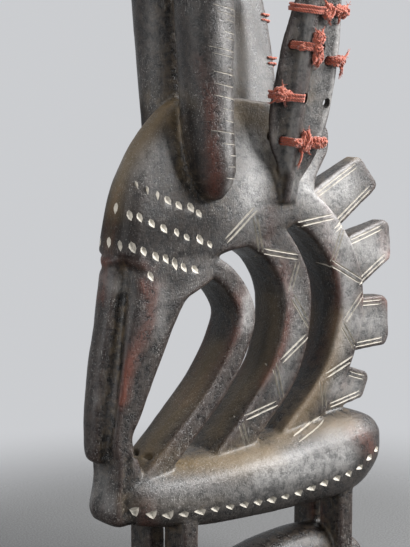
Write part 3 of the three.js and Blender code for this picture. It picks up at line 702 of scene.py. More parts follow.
# Cuts: chip notches, paired lines, ticks on the horns, eyes and the holes in the ears
cuts = {
    # rows of notches by pixels of the photograph that they pass through; an outline is (along, across) by shares
    # of length and height, and its deepest place stands at the share "tall" along
    "flank": {
        "row": [(133, 511), (169, 515), (210, 509), (243, 504), (272, 499), (304, 490), (338, 477), (358, 468),
                (371, 455), (376, 449)],
        "count": 19, "length": 6.2, "height": 7.0, "depth": 2.0, "tall": -0.22,
        "outline": [(0.5, 0), (0.02, 0.29), (-0.48, 0.5), (-0.56, 0), (-0.48, -0.5), (0.02, -0.29)],
    },
    "brow": {
        "rows": [
            [(135, 185), (146, 190), (156, 195), (168, 200), (179, 205), (191, 207), (199, 213)],
            [(116, 208), (130, 215), (140, 217), (152, 223), (164, 228), (177, 232), (187, 237), (200, 239),
             (210, 244)],
            [(109, 242), (120, 245), (133, 247), (144, 251), (156, 256), (166, 258), (175, 263), (184, 267),
             (195, 269)],
            [(151, 276)]],
        "way": (-0.5, 0.87), "waySway": 0.25, "length": 5.4, "height": 4.2, "depth": 1.5, "tall": 0.12,
        "outline": [(0.5, 0), (0.38, 0.34), (0.05, 0.5), (-0.25, 0.34), (-0.62, 0.02), (-0.25, -0.34),
                    (0.05, -0.5), (0.38, -0.34)],
    },
    # how far a notch's cutter stands out of the wood
    "chipLift": 1.2,
    # paired lines on the left side, both ends as place along the animal and height
    "lines": [
        [(7.5, 201.5), (33, 196.5)], [(32.1, 193.7), (26.2, 177.6)], [(28.5, 174), (42.5, 154.8)],
        [(40.2, 150.9), (19.8, 137.6)], [(15.3, 136.4), (20.7, 116.7)], [(17, 114.3), (-6.5, 108.9)],
        [(-10.1, 108.3), (-5, 93.3)],
        [(33.3, 215.2), (59.6, 218.4)], [(66.8, 211.1), (59.2, 191.7)], [(57.6, 191.9), (81.9, 178.9)],
        [(83.7, 171.6), (69.3, 156.2)], [(67.7, 154), (78.6, 138.6)], [(76.2, 133.4), (54.6, 125.3)],
        [(51.5, 122.1), (54.1, 106.3)], [(52, 101), (26, 93)],
        [(-20.4, 209.3), (0.8, 225.7)], [(-0.6, 221.9), (6, 197.4)],
    ],
    "lineGap": 2.7,
    "lineWidth": 1.15,
    "lineDepth": 0.75,
    "lineStep": 3.2,
    # edges of each tab's outline that a pair of lines runs along
    "tabLines": [((1, 2), (6, 5)), ((1, 2), (6, 5)), ((1, 2), (6, 5)), ((1, 2), (5, 4))],
    "tabInset": (2.6, 5.0),
    # along the horn by shares, across it by degrees from its outer side; found from so far off its middle line
    "ticks": {"from": 0.03, "to": 0.93, "gapLow": 6.6, "gapHigh": 3.0, "width": 0.42, "depth": 0.26, "lift": 0.35,
              "arc": (-8, 66), "sway": 24, "slope": 0.22, "radius": 14, "points": 7, "far": 24, "search": 20},
    "eye": {"place": (-82.2, 193.4), "width": 8.2, "height": 6.4, "depth": 3.4, "narrow": (0.9, 0.86)},
}


def onSide(tree, x, z, side, far=120):
    # where a line from the side meets the wood, and which way the wood faces there
    place, normal, _, _ = tree.ray_cast(Vector((x, side * far, z)) * mm, Vector((0, -side, 0)), (far - 1) * mm)
    return place, normal


def chipCutter(bm, place, normal, forward, size):
    # pit with the outline of one kind of notch, extruded and drawn to a point at its deepest place
    forward = (forward - normal * forward.dot(normal)).normalized()
    upward = normal.cross(forward)
    wide = 1 + cuts["chipLift"] / size["depth"]
    deepest = forward * size["length"] * size["tall"]
    top = bmesh.ops.create_circle(bm, cap_ends=True, segments=len(size["outline"]), radius=1)["verts"]
    for vert, (along, across) in zip(top, size["outline"]):
        corner = forward * along * size["length"] + upward * across * size["height"]
        vert.co = place + (deepest + (corner - deepest) * wide + normal * cuts["chipLift"]) * mm
    face = top[0].link_faces[0]
    grown = bmesh.ops.extrude_face_region(bm, geom=[face], use_keep_orig=True)["geom"]
    low = vertsOf(grown)
    bmesh.ops.pointmerge(bm, verts=low, merge_co=place + (deepest - normal * size["depth"]) * mm)
    turnOutward(bm, top[0])


def grooveCutter(bm, path, width, depth, lift=0.5):
    # V cut along a path of places and surface normals, drawn in at both ends
    if len(path) < 3:
        return
    rings = []
    for number, (place, normal) in enumerate(path):
        before, after = path[max(number - 1, 0)][0], path[min(number + 1, len(path) - 1)][0]
        side = (after - before).normalized().cross(normal).normalized()
        keep = 0.3 if number in (0, len(path) - 1) else 1
        wide = width / 2 * (keep + lift / depth)
        rings.append([place / mm + side * wide + normal * lift, place / mm - normal * depth * keep,
                      place / mm - side * wide + normal * lift])
    turnOutward(bm, sweepRings(bm, rings)[0])


def linePath(tree, a, b, side, step):
    a, b = Vector(a), Vector(b)
    count = max(3, round((b - a).length / step) + 1)
    path = []
    for number in range(count):
        x, z = a.lerp(b, number / (count - 1))
        place, normal = onSide(tree, x, z, side)
        if place is not None:
            path.append((place, normal))
    return path


def pairOfLines(bm, tree, a, b, side):
    across = Vector((a[1] - b[1], b[0] - a[0])).normalized() * cuts["lineGap"] / 2
    for way in (-1, 1):
        shorter = random.uniform(-0.04, 0.03)
        begin, end = Vector(a) + across * way, Vector(b) + across * way
        path = linePath(tree, begin.lerp(end, shorter), end.lerp(begin, random.uniform(-0.03, 0.04)), side,
                        cuts["lineStep"])
        grooveCutter(bm, path, cuts["lineWidth"] * random.uniform(0.85, 1.1), cuts["lineDepth"])


def sized(cut, least, most):
    share = random.uniform(least, most)
    return {**cut, **{key: cut[key] * share * random.uniform(0.93, 1.07) for key in ("length", "height", "depth")}}


def chipPair(bm, place, normal, forward, size):
    # the same notch on both sides of the animal
    for side in (1, -1) if abs(place.y) > size["height"] * mm else (1,):
        turn = Vector((1, side, 1))
        chipCutter(bm, place * turn, normal * turn, forward * turn, size)


def chipPlaces(tree):
    flank, brow = cuts["flank"], cuts["brow"]
    found = [fromPhoto(tree, pixel)[0] for pixel in flank["row"]]
    line = evenly(throughPoints(found, 8), flank["count"] * 8 - 7)
    chips = []
    for number in range(flank["count"]):
        at = number * 8
        onward = line[min(at + 1, len(line) - 1)] - line[max(at - 1, 0)]
        place, normal, _, _ = tree.find_nearest(Vector(line[at]))
        chips.append((place, normal, Vector(-onward), sized(flank, 0.92, 1.06)))
    for row in brow["rows"]:
        for pixel in row:
            place, normal = fromPhoto(tree, pixel)
            sway = random.uniform(-brow["waySway"], brow["waySway"])
            way = Vector((brow["way"][0] + sway, 0, brow["way"][1]))
            chips.append((place, normal, way, sized(brow, 0.85, 1.1)))
    return chips


def chipCuts(part):
    # notches that follow each other are cut in different parts, so that they don't meet in one cutter
    def build(bm):
        for place, normal, way, size in chips[part::3]:
            chipPair(bm, place, normal, way, size)
    return build


def tabLines(bm, tree, side):
    for outline, edges in zip(neck["tabs"], cuts["tabLines"]):
        middle = sum((Vector(point) for point in outline), Vector((0, 0))) / len(outline)
        for first, last in edges:
            a, b = Vector(outline[first]), Vector(outline[last])
            inward = Vector((a[1] - b[1], b[0] - a[0])).normalized()
            if inward.dot(middle - a) < 0:
                inward = -inward
            for inset in cuts["tabInset"]:
                begin, end = a.lerp(b, -0.1) + inward * inset, a.lerp(b, 0.9) + inward * inset
                grooveCutter(bm, linePath(tree, begin, end, side, cuts["lineStep"]), cuts["lineWidth"] * 0.9,
                             cuts["lineDepth"] * 0.9)


def tickCuts(bm, tree, part):
    # ticks that follow each other are cut in different parts, so that they don't meet in one cutter
    ticks = cuts["ticks"]
    rng = random.Random(5)
    for side in (-1, 1):
        number = 0
        line, shares = hornLine(side)
        onward = tangentsOf(line)
        length = float(np.linalg.norm(np.diff(line, axis=0), axis=1).sum())
        share = ticks["from"]
        while share < ticks["to"]:
            at = min(int(share * (len(line) - 1)), len(line) - 1)
            middle, along = Vector(line[at]), Vector(onward[at])
            out = Vector((0, side, 0))
            out = (out - along * out.dot(along)).normalized()
            path = []
            low, high = (angle + rng.uniform(-ticks["sway"], ticks["sway"]) for angle in ticks["arc"])
            for angle in np.linspace(low, high, ticks["points"]):
                turned = Matrix.Rotation(math.radians(angle) * -side, 3, along) @ out
                drop = along * (-ticks["slope"] * math.sin(math.radians(angle)) * ticks["radius"])
                place, normal, _, _ = tree.ray_cast((middle + drop + turned * ticks["far"]) * mm, -turned,
                                                    ticks["search"] * mm)
                if place is not None:
                    path.append((place, normal))
            wide = ticks["width"] * rng.uniform(0.7, 1.15)
            if len(path) == ticks["points"] and number % 2 == part:
                grooveCutter(bm, path, wide, ticks["depth"], ticks["lift"])
            number += 1
            gap = ticks["gapLow"] + (ticks["gapHigh"] - ticks["gapLow"]) * min(1, share * 3)
            share += gap * rng.uniform(0.8, 1.2) / length


def eyeCuts(bm, tree):
    eye = cuts["eye"]
    for side in (-1, 1):
        place, normal = onSide(tree, *eye["place"], side)
        normal = Vector((normal.x, normal.y, 0)).normalized()
        along = Vector((0, 0, 1)).cross(normal)
        made = bmesh.ops.create_cube(bm, size=1)["verts"]
        turn = Matrix((along, normal, (0, 0, 1))).transposed().to_4x4()
        for vert in made:   # narrower toward the bottom of the hole
            narrow, low = eye["narrow"] if vert.co.y < 0 else (1, 1)
            vert.co.x *= eye["width"] * narrow
            vert.co.z *= eye["height"] * low
            vert.co.y *= 2 * eye["depth"]
        bmesh.ops.transform(bm, matrix=Matrix.Translation(place) @ turn @ Matrix.Scale(mm, 4), verts=made)


def holeCuts(bm):
    for side, hand in sides.items():
        up, face, across, _ = earFrame(side)
        turn = Matrix((across, up, face)).transposed().to_4x4()
        tied = [(tie["length"], width) for tie in yarn["ties"][hand] for width in (tie["front"], tie["back"])
                if width is not None]
        for length, width in tied + ear["openHoles"][hand]:
            made = bmesh.ops.create_cone(bm, cap_ends=True, segments=28, radius1=ear["holeRadius"],
                                         radius2=ear["holeRadius"], depth=30)["verts"]
            centre = earPoint(side, length, width, 0) * mm
            bmesh.ops.transform(bm, matrix=Matrix.Translation(centre) @ turn @ Matrix.Scale(mm, 4), verts=made)


# Yarn: ties by distance along the ear; an end is a hole at that place across it, or None for its edge.
# Clumps are (across, up, reach across, reach up, turns) and loose ends (across, up) to (across, up), in
# millimetres from the middle of the tie
yarn = {
    "ties": {
        "left": [
            {"length": 95, "front": None, "back": None, "strands": 4,
             "clumps": [(7.4, -0.4, 3.4, 3.8, 8), (14.5, 0.8, 4.4, 2.6, 6), (19.5, 0, 3.2, 3, 6)],
             "loose": [(15, -1, 16.4, -6), (20, 1, 24.5, -1.5), (19, 0, 22, 4.5), (7, 2, 4, 6), (8, -2, 9.5, -6)]},
            {"length": 75, "front": -10.4, "back": 8, "strands": 4,
             "clumps": [(2.4, 5.2, 3.6, 3.4, 8), (4.2, -5.2, 3, 3.8, 8), (2.8, 0, 2.4, 3, 5), (-5.5, -0.6, 3, 1.8, 3)],
             "loose": [(3, 7, 5.5, 10), (1, 6, -1, 9), (5, -7, 5.5, -10.5), (2.5, -5, 1, -8)]},
            {"length": 68, "front": 14.3, "back": None, "strands": 4,
             "clumps": [(18.5, 0.2, 3, 2.6, 6), (22.6, 0, 2.6, 3, 6)],
             "loose": [(23, 1, 27.6, 5.5), (23.5, -1, 26, -6.5), (22, -1, 24.5, -7.5), (23, 2, 26.5, 2.5)]},
            {"length": 47, "front": None, "back": 0, "strands": 4,
             "clumps": [(-15.6, 1.2, 3.4, 4, 9), (-10.5, 0.4, 3.2, 2.6, 6), (-5, 0, 3, 1.8, 4)],
             "loose": [(-16, 3, -14, 6.5), (-17, -1, -19.5, -4), (-13, -1, -11, -4.5)]},
            {"length": 22.5, "front": -7.4, "back": None, "strands": 4,
             "clumps": [(5, 1, 3.4, 5, 10), (4.4, -3, 2.4, 2.4, 5), (13, 0.2, 4.4, 2.9, 8), (17.6, 0.2, 2.6, 2.6, 5),
                        (-2.5, 0, 3, 1.8, 3)],
             "loose": [(2.6, -4, 1.9, -12.5), (5, 4, 6.5, 8), (4, 4, 1.5, 6.5), (6, -3, 8, -6)]},
        ],
        "right": [
            {"length": 94, "front": 15, "back": None, "strands": 2,
             "clumps": [(20.6, 2.2, 2, 3, 6), (22, -2, 1.8, 3.6, 6)],
             "loose": [(22, -3, 24, -8.5), (21, 3, 20, 6), (22, 0, 23.4, -7)]},
            {"length": 69, "front": 17.5, "back": None, "strands": 2,
             "clumps": [(23.4, 0.6, 1.5, 3, 6), (24, -2.4, 1.2, 2.4, 4)],
             "loose": [(24, -2, 24.6, -7), (23.4, 2, 23, 5)]},
            {"length": 22.5, "front": -7.4, "back": None, "strands": 3,
             "clumps": [(5, 1, 3.4, 4.6, 9), (13, 0.2, 4.4, 2.6, 6)],
             "loose": [(2.6, -4, 1.9, -10), (5, 4, 6.5, 8)]},
        ],
    },
    "band": 3.6,
    "fullness": 1.9,
    "reach": 1.15,
    "strand": 0.8,
    "ply": 0.45,
    "pitch": 3.2,
    "wander": 0.5,
    "fibre": 0.13,
    "fibres": 5,
    # a strand runs this far off the wood, and every other one higher
    "clearance": 0.12,
    "layerLift": 0.3,
    # a strand turns down a hole from this share of its radius
    "dip": 0.6,
    # a knot's flattened ball: how far its middle stands off the ear, its reach outward, and what turns add to it
    "ballOut": 1.9,
    "ballDeep": 2,
    "turnLift": 0.35,
    # a loose end: how far off the ear it starts and ends, and how far it bows between
    "looseOut": 2.6,
    "tipOut": (1.2, 2.6),
    "looseBow": 0.8,
    # spacing of the points along a ply
    "plyStep": 0.75,
    "colours": {"red": (0.18, 0.026, 0.011, 1), "pale": (0.37, 0.082, 0.036, 1), "faded": (0.33, 0.135, 0.082, 1),
                "soiled": (0.068, 0.017, 0.011, 1)},
}


def tiePath(side, tie, shift, free, knot):
    # closed line of one strand round its part of the ear, pulled straight between what it touches
    length = tie["length"] + shift
    before, behind = earWidths(length)
    start = -before - free if tie["front"] is None else tie["front"]
    end = behind + free if tie["back"] is None else tie["back"]
    rib = ear["ribWide"] / 2 * ear["ribShoulder"]

    def surface(width, outer):
        inner = min(max(width, -before + 0.3), behind - 0.3)
        return earSurface(length, inner, outer) + (free if outer else -free)

    # a strand that goes into a hole turns down it close to its rim
    dip = ear["holeRadius"] * yarn["dip"]
    turn = [(start, surface(start, True))]
    if tie["front"] is not None:
        turn = [(start, surface(start, True) - 2 * free), (start + dip, surface(start + dip, True))]
    if start < -rib:
        turn.append((-rib, ear["ribHigh"] + free))
    if start < rib < end:
        turn.append((rib * 0.5, ear["ribHigh"] * 0.9 + free))
    if start > 0:
        turn.append(((start + end) / 2, surface((start + end) / 2, True)))
    if tie["back"] is not None:
        turn += [(end - dip, surface(end - dip, True)), (end, surface(end, True) - 2 * free)]
    else:
        turn.append((end, surface(end, True)))
    turn.append((end, surface(end, False)))
    middle = [end / 2, 0, start / 2] if start < 0 < end else [(start + end) / 2]
    turn += [(width, surface(width, False)) for width in middle]
    turn.append((start, surface(start, False)))
    loop = throughPoints(turn, 7, closed=True)
    first = min(range(len(loop)), key=lambda k: abs(loop[k][0] - knot) + (0 if loop[k][1] > 0 else 100))
    loop = np.concatenate([loop[first:], loop[:first + 3]])
    return np.array([earPoint(side, length, width, out) for width, out in loop])


def plied(line, apart, pitch, phase):
    # one ply that winds round a line
    spans = np.linalg.norm(np.diff(line, axis=0), axis=1)
    line = evenly(line, max(4, int(spans.sum() / yarn["plyStep"])))
    reach = np.linspace(0, spans.sum(), len(line))
    onward = tangentsOf(line)
    side = np.cross(onward[0], (0.3, 0.5, 0.8))
    ply = []
    for place, way, along in zip(line, onward, reach):
        side = side - way * side.dot(way)
        side /= np.linalg.norm(side)
        angle = 2 * math.pi * along / pitch + phase
        ply.append(place + apart * (math.cos(angle) * side + math.sin(angle) * np.cross(way, side)))
    return ply


def addSpline(curve, line, radius):
    spline = curve.splines.new("POLY")
    spline.points.add(len(line) - 1)
    for number, (point, place) in enumerate(zip(spline.points, line)):
        point.co = (*(np.asarray(place) * mm), 1)
        point.radius = radius * (0.55 if number in (0, len(line) - 1) else 1)


def addStrand(curve, line, rng):
    size = yarn["strand"]
    for phase in (0, math.pi):
        addSpline(curve, plied(line, size * 0.5, yarn["pitch"], phase + rng.uniform(-0.3, 0.3)), yarn["ply"])


def wandering(line, rng, amount):
    bend = rng.uniform(-1, 1, (max(3, len(line) // 6), 3))
    shares = np.linspace(0, len(bend) - 1, len(line))
    drift = np.stack([np.interp(shares, range(len(bend)), bend[:, k]) for k in range(3)], axis=1)
    return line + drift * amount


def makeTie(side, number, finish):
    tie = yarn["ties"][sides[side]][number]
    rng = np.random.default_rng(20 + number * 2 + (side > 0))
    up, face, across, _ = (np.array(way) for way in earFrame(side))
    curve = bpy.data.curves.new("tie", "CURVE")
    curve.dimensions = "3D"
    curve.bevel_depth = mm
    curve.bevel_resolution = 1
    curve.use_fill_caps = True
    before, behind = earWidths(tie["length"])

    def spot(width, rise, out):
        # place off the outer face, held in over the edges
        within = min(max(width, -before + 0.5), behind - 0.5)
        return np.array(earPoint(side, tie["length"] + rise, width, earSurface(tie["length"], within, True) + out))

    for layer in range(tie["strands"]):
        shift = (layer / max(tie["strands"] - 1, 1) - 0.5) * yarn["band"]
        free = yarn["strand"] + yarn["clearance"] + yarn["layerLift"] * (layer % 2)
        line = tiePath(side, tie, shift * rng.uniform(0.7, 1.1), free, tie["clumps"][0][0])
        addStrand(curve, wandering(line, rng, yarn["wander"] * 0.6), rng)
    for width, rise, wide, high, turns in tie["clumps"]:
        # short turns that wander inside a flattened ball
        centre = spot(width, rise, yarn["ballOut"])
        for turn in range(round(turns * yarn["fullness"])):
            bends = rng.normal(0, 0.7, (6, 3))
            bends /= np.maximum(1, np.linalg.norm(bends, axis=1))[:, None]
            loop = throughPoints(bends * (wide, high, yarn["ballDeep"]) * yarn["reach"], 5, closed=True)
            addStrand(curve, centre + loop @ np.array([across, up, face]) + face * yarn["turnLift"] * (turn % 4), rng)
    # loose ends that fray into fibres
    for width, rise, far, tall in tie["loose"]:
        begin, end = spot(width, rise, yarn["looseOut"]), spot(far, tall, rng.uniform(*yarn["tipOut"]))
        shares = np.linspace(0, 1, 12)[:, None]
        line = begin + (end - begin) * shares + face * np.sin(shares * math.pi) * yarn["looseBow"]
        addStrand(curve, wandering(line, rng, 0.35), rng)
        for fibre in range(yarn["fibres"]):
            tip = (line[-1] - line[-4]) * rng.uniform(0.6, 1.3) + rng.uniform(-1.5, 1.5, 3)
            thread = line[-2] + tip * np.linspace(0, 1, 6)[:, None]
            addSpline(curve, wandering(thread, rng, 0.4), yarn["fibre"])
    tube = bpy.data.objects.new("tie", curve)
    scene.collection.objects.link(tube)
    bpy.context.view_layer.update()
    mesh = bpy.data.meshes.new_from_object(tube.evaluated_get(bpy.context.evaluated_depsgraph_get()))
    bpy.data.objects.remove(tube)
    made = bpy.data.objects.new(f"{sides[side]}_ear_yarn_{number + 1}", mesh)
    scene.collection.objects.link(made)
    mesh.materials.clear()
    mesh.materials.append(finish)
    for polygon in mesh.polygons:
        polygon.use_smooth = True
    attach(made, "root")
    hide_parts(f"{sides[side]}_ear_tie_{number + 1}")


def cutFrom(made, cut, material):
    for build in cut:
        bm = bmesh.new()
        build(bm)
        cutter = objectFrom(bm, "cutter")
        cutter.data.materials.append(material)
        boolean = made.modifiers.new("cut", "BOOLEAN")
        boolean.operation = "DIFFERENCE"
        boolean.solver = "MANIFOLD"
        boolean.material_mode = "TRANSFER"
        boolean.object = cutter
        applyModifiers(made)
        bpy.data.objects.remove(cutter)


def dropCrumbs(made):
    # splinters that the cuts have left loose
    bm = bmesh.new()
    bm.from_mesh(made.data)
    left, islands = set(bm.verts), []
    for vert in bm.verts:
        if vert in left:
            islands.append(islandOf(vert))
            left -= islands[-1]
    largest = max(islands, key=len)
    bmesh.ops.delete(bm, geom=[vert for vert in bm.verts if vert not in largest], context="VERTS")
    bm.to_mesh(made.data)
    bm.free()


def materialNamed(name):
    made = bpy.data.materials.new(name)
    made.use_nodes = True
    nodes, links = made.node_tree.nodes, made.node_tree.links

    def add(kind, inputs, **settings):
        node = nodes.new(kind)
        for key, value in settings.items():
            setattr(node, key, value)
        for key, value in inputs.items():
            if isinstance(value, bpy.types.NodeSocket):
                links.new(value, node.inputs[key])
            else:
                node.inputs[key].default_value = value
        return node

    return made, nodes["Principled BSDF"], add


def mixColour(add, share, one, other):
    return add("ShaderNodeMix", {0: share, 6: one, 7: other}, data_type="RGBA").outputs[2]


def stretch(add, value, low, high, least=0.0, most=1.0):
    return add("ShaderNodeMapRange", {0: value, 1: low, 2: high, 3: least, 4: most},
               interpolation_type="SMOOTHSTEP").outputs[0]


def plus(add, one, other):
    # the sum, held at 1
    return add("ShaderNodeMath", {0: one, 1: other}, operation="ADD", use_clamp=True).outputs[0]


def times(add, one, other):
    return add("ShaderNodeMath", {0: one, 1: other}, operation="MULTIPLY").outputs[0]


def clouds(add, place, size, detail=3, rough=0.55):
    # size is in repeats per metre
    settings = {"Vector": place, "Scale": size, "Detail": detail, "Roughness": rough}
    return add("ShaderNodeTexNoise", settings).outputs[0]


def fact(add, name):
    return add("ShaderNodeAttribute", {}, attribute_name=name).outputs["Fac"]


# Finish of the wood: linear colours
finish = {
    "dark": (0.006, 0.0052, 0.0048, 1), "brown": (0.024, 0.019, 0.016, 1), "film": (0.37, 0.357, 0.335, 1),
    # the pale sheen colour is a painted highlight and the shadow colour is painted shade
    "mahogany": (0.072, 0.019, 0.010, 1), "ochre": (0.27, 0.185, 0.085, 1), "paintedSheen": (0.82, 0.81, 0.79, 1),
    "chalk": (0.47, 0.435, 0.375, 1), "shadow": (0.004, 0.003, 0.003, 1),
    # repeats per metre
    "patches": 34, "mottle": 230, "fine": 620, "grain": 1100, "specks": 1500, "scratches": 1500,
    "scratchTurns": [(0.1, 1.25, 0.2), (0.2, -0.9, 0.3), (-0.3, 0.45, 0.1)],
    "bumpHeight": 0.0011,
}


def woodFinish(name, chalked=0.0, shade=1.0):
    # dark worn patina with painted highlights and painted shade; chalked is how much pale dust lies in it, and a shade
    # below 1 darkens all of it as painted shade
    made, shader, add = materialNamed(name)
    place = add("ShaderNodeTexCoord", {}).outputs["Object"]

    def drawn(turn, size, narrow):
        way = add("ShaderNodeMapping", {"Vector": place, "Rotation": turn, "Scale": (1, 1, narrow)}).outputs[0]
        return clouds(add, way, size, 2, 0.5)

    patches = clouds(add, place, finish["patches"], 4)
    mottle = clouds(add, place, finish["mottle"], 5, 0.68)
    fine = clouds(add, place, finish["fine"], 4, 0.8)
    grain = drawn((0, 0, 0), finish["grain"], 0.07)
    specks = clouds(add, place, finish["specks"], 2, 0.5)
    worn, hollow, ochre, mahogany, paintedSheen, dullAndShade = (fact(add, name) for name in factNames)

    colour = mixColour(add, stretch(add, mottle, 0.38, 0.62), finish["dark"], finish["brown"])
    colour = mixColour(add, stretch(add, grain, 0.5, 0.75, 0, 0.4), colour, finish["dark"])
    # mahogany where the patina is worn through
    mixed = times(add, plus(add, mottle, fine), 0.5)
    ragged = stretch(add, mixed, 0.38, 0.56)
    edges = times(add, worn, plus(add, mahogany, 0.12))
    rubbed = plus(add, edges, times(add, mahogany, ragged))
    rubbed = times(add, rubbed, stretch(add, grain, 0.75, 0.4, 0.55, 1))
    colour = mixColour(add, rubbed, colour, finish["mahogany"])
    # painted highlight: pale sheen where the light glints, thinner between the mottles
    paintedSheenShare = times(add, times(add, paintedSheen, 0.22), stretch(add, mottle, 0.38, 0.56, 0.55, 1))
    colour = mixColour(add, paintedSheenShare, colour, finish["paintedSheen"])
    # thin scratches, ochre dust and pale specks
    lines = None
    for turn in finish["scratchTurns"]:
        line = stretch(add, drawn(turn, finish["scratches"], 0.09), 0.66, 0.75, 0, 0.32)
        lines = line if lines is None else plus(add, lines, line)
    lines = times(add, lines, stretch(add, patches, 0.36, 0.6, 0.15, 1))
    colour = mixColour(add, lines, colour, finish["film"])
    dust = plus(add, times(add, ochre, 0.3), times(add, hollow, stretch(add, mottle, 0.4, 0.7, 0, 0.22)))
    colour = mixColour(add, dust, colour, finish["ochre"])
    pale = times(add, stretch(add, specks, 0.62, 0.7), stretch(add, patches, 0.4, 0.65, 0.1, 0.6))
    colour = mixColour(add, pale, colour, finish["film"])
    # painted shade: the colour is darkened where the shade strokes lie
    colour = mixColour(add, times(add, dullAndShade, 0.6), colour, finish["dark"])
    if chalked:
        fill = stretch(add, mottle, 0.36, 0.52, chalked * 0.6, chalked)
        colour = mixColour(add, fill, colour, finish["chalk"])
    # painted shade: the whole material darkened toward the shadow colour
    if shade < 1:
        colour = mixColour(add, 1 - shade, colour, finish["shadow"])

    rough = stretch(add, mixed, 0.4, 0.6, 0.22, 0.52)
    rough = plus(add, rough, times(add, dust, 0.35))
    rough = plus(add, rough, times(add, dullAndShade, 0.3))
    if chalked:
        rough = plus(add, rough, 0.25)
    height = plus(add, times(add, mottle, 0.4), times(add, fine, 0.5))
    height = add("ShaderNodeMath", {0: height, 1: times(add, lines, 0.15)}, operation="SUBTRACT").outputs[0]
    bump = add("ShaderNodeBump", {"Height": height, "Strength": 0.9, "Distance": finish["bumpHeight"]}).outputs[0]
    links = made.node_tree.links
    links.new(colour, shader.inputs["Base Color"])
    links.new(rough, shader.inputs["Roughness"])
    links.new(bump, shader.inputs["Normal"])
    links.new(stretch(add, dullAndShade, 0, 1, 0.3, 0.075), shader.inputs["Specular IOR Level"])
    shader.inputs["Coat Weight"].default_value = 0.0 if chalked else 0.1
    shader.inputs["Coat Roughness"].default_value = 0.25
    return made


def yarnFinish():
    made, shader, add = materialNamed("redYarn")
    place = add("ShaderNodeTexCoord", {}).outputs["Object"]
    fuzz = clouds(add, place, 2600, 3, 0.6)
    faded = clouds(add, place, 170, 3)
    colours = yarn["colours"]
    colour = mixColour(add, stretch(add, fuzz, 0.35, 0.68), colours["red"], colours["pale"])
    colour = mixColour(add, stretch(add, faded, 0.5, 0.75, 0, 0.45), colour, colours["faded"])
    colour = mixColour(add, stretch(add, faded, 0.48, 0.3, 0, 0.5), colour, colours["soiled"])
    bump = add("ShaderNodeBump", {"Height": fuzz, "Strength": 0.6, "Distance": 0.0003}).outputs[0]
    links = made.node_tree.links
    links.new(colour, shader.inputs["Base Color"])
    links.new(bump, shader.inputs["Normal"])
    shader.inputs["Roughness"].default_value = 0.92
    shader.inputs["Sheen Weight"].default_value = 0.4
    shader.inputs["Sheen Roughness"].default_value = 0.5
    return made


# the last two facts are painted light: a painted highlight, and a dull finish with painted shade
factNames = ("worn", "hollow", "ochre", "mahogany", "paintedSheen", "dullAndShade")
darkWood = woodFinish("darkWood")
chalkedCut = woodFinish("chalkedCut", chalked=0.95)
chalkedLine = woodFinish("chalkedLine", chalked=0.62)
scratchedWood = woodFinish("scratchedWood", chalked=0.6)
# painted shade inside the eyes and the ear holes
shadedHollowWood = woodFinish("shadedHollowWood", shade=0.45)
wood.data.materials.clear()
wood.data.materials.append(darkWood)

tree = surfaceTree(wood)


def zigzags(part):
    def build(bm):
        for number, (a, b) in enumerate(cuts["lines"]):
            if number % 2 == part:
                pairOfLines(bm, tree, a, b, -1)
                pairOfLines(bm, tree, a, b, 1)
        if part:
            tabLines(bm, tree, -1)
            tabLines(bm, tree, 1)
    return build


chips = chipPlaces(tree)
cutFrom(wood, [chipCuts(0), chipCuts(1), chipCuts(2)], chalkedCut)
cutFrom(wood, [zigzags(0), zigzags(1)], chalkedLine)
cutFrom(wood, [lambda bm: tickCuts(bm, tree, 0), lambda bm: tickCuts(bm, tree, 1)], scratchedWood)
cutFrom(wood, [lambda bm: eyeCuts(bm, tree), holeCuts], shadedHollowWood)
dropCrumbs(wood)
print("cuts made:", sum(len(face.vertices) - 2 for face in wood.data.polygons), "triangles")
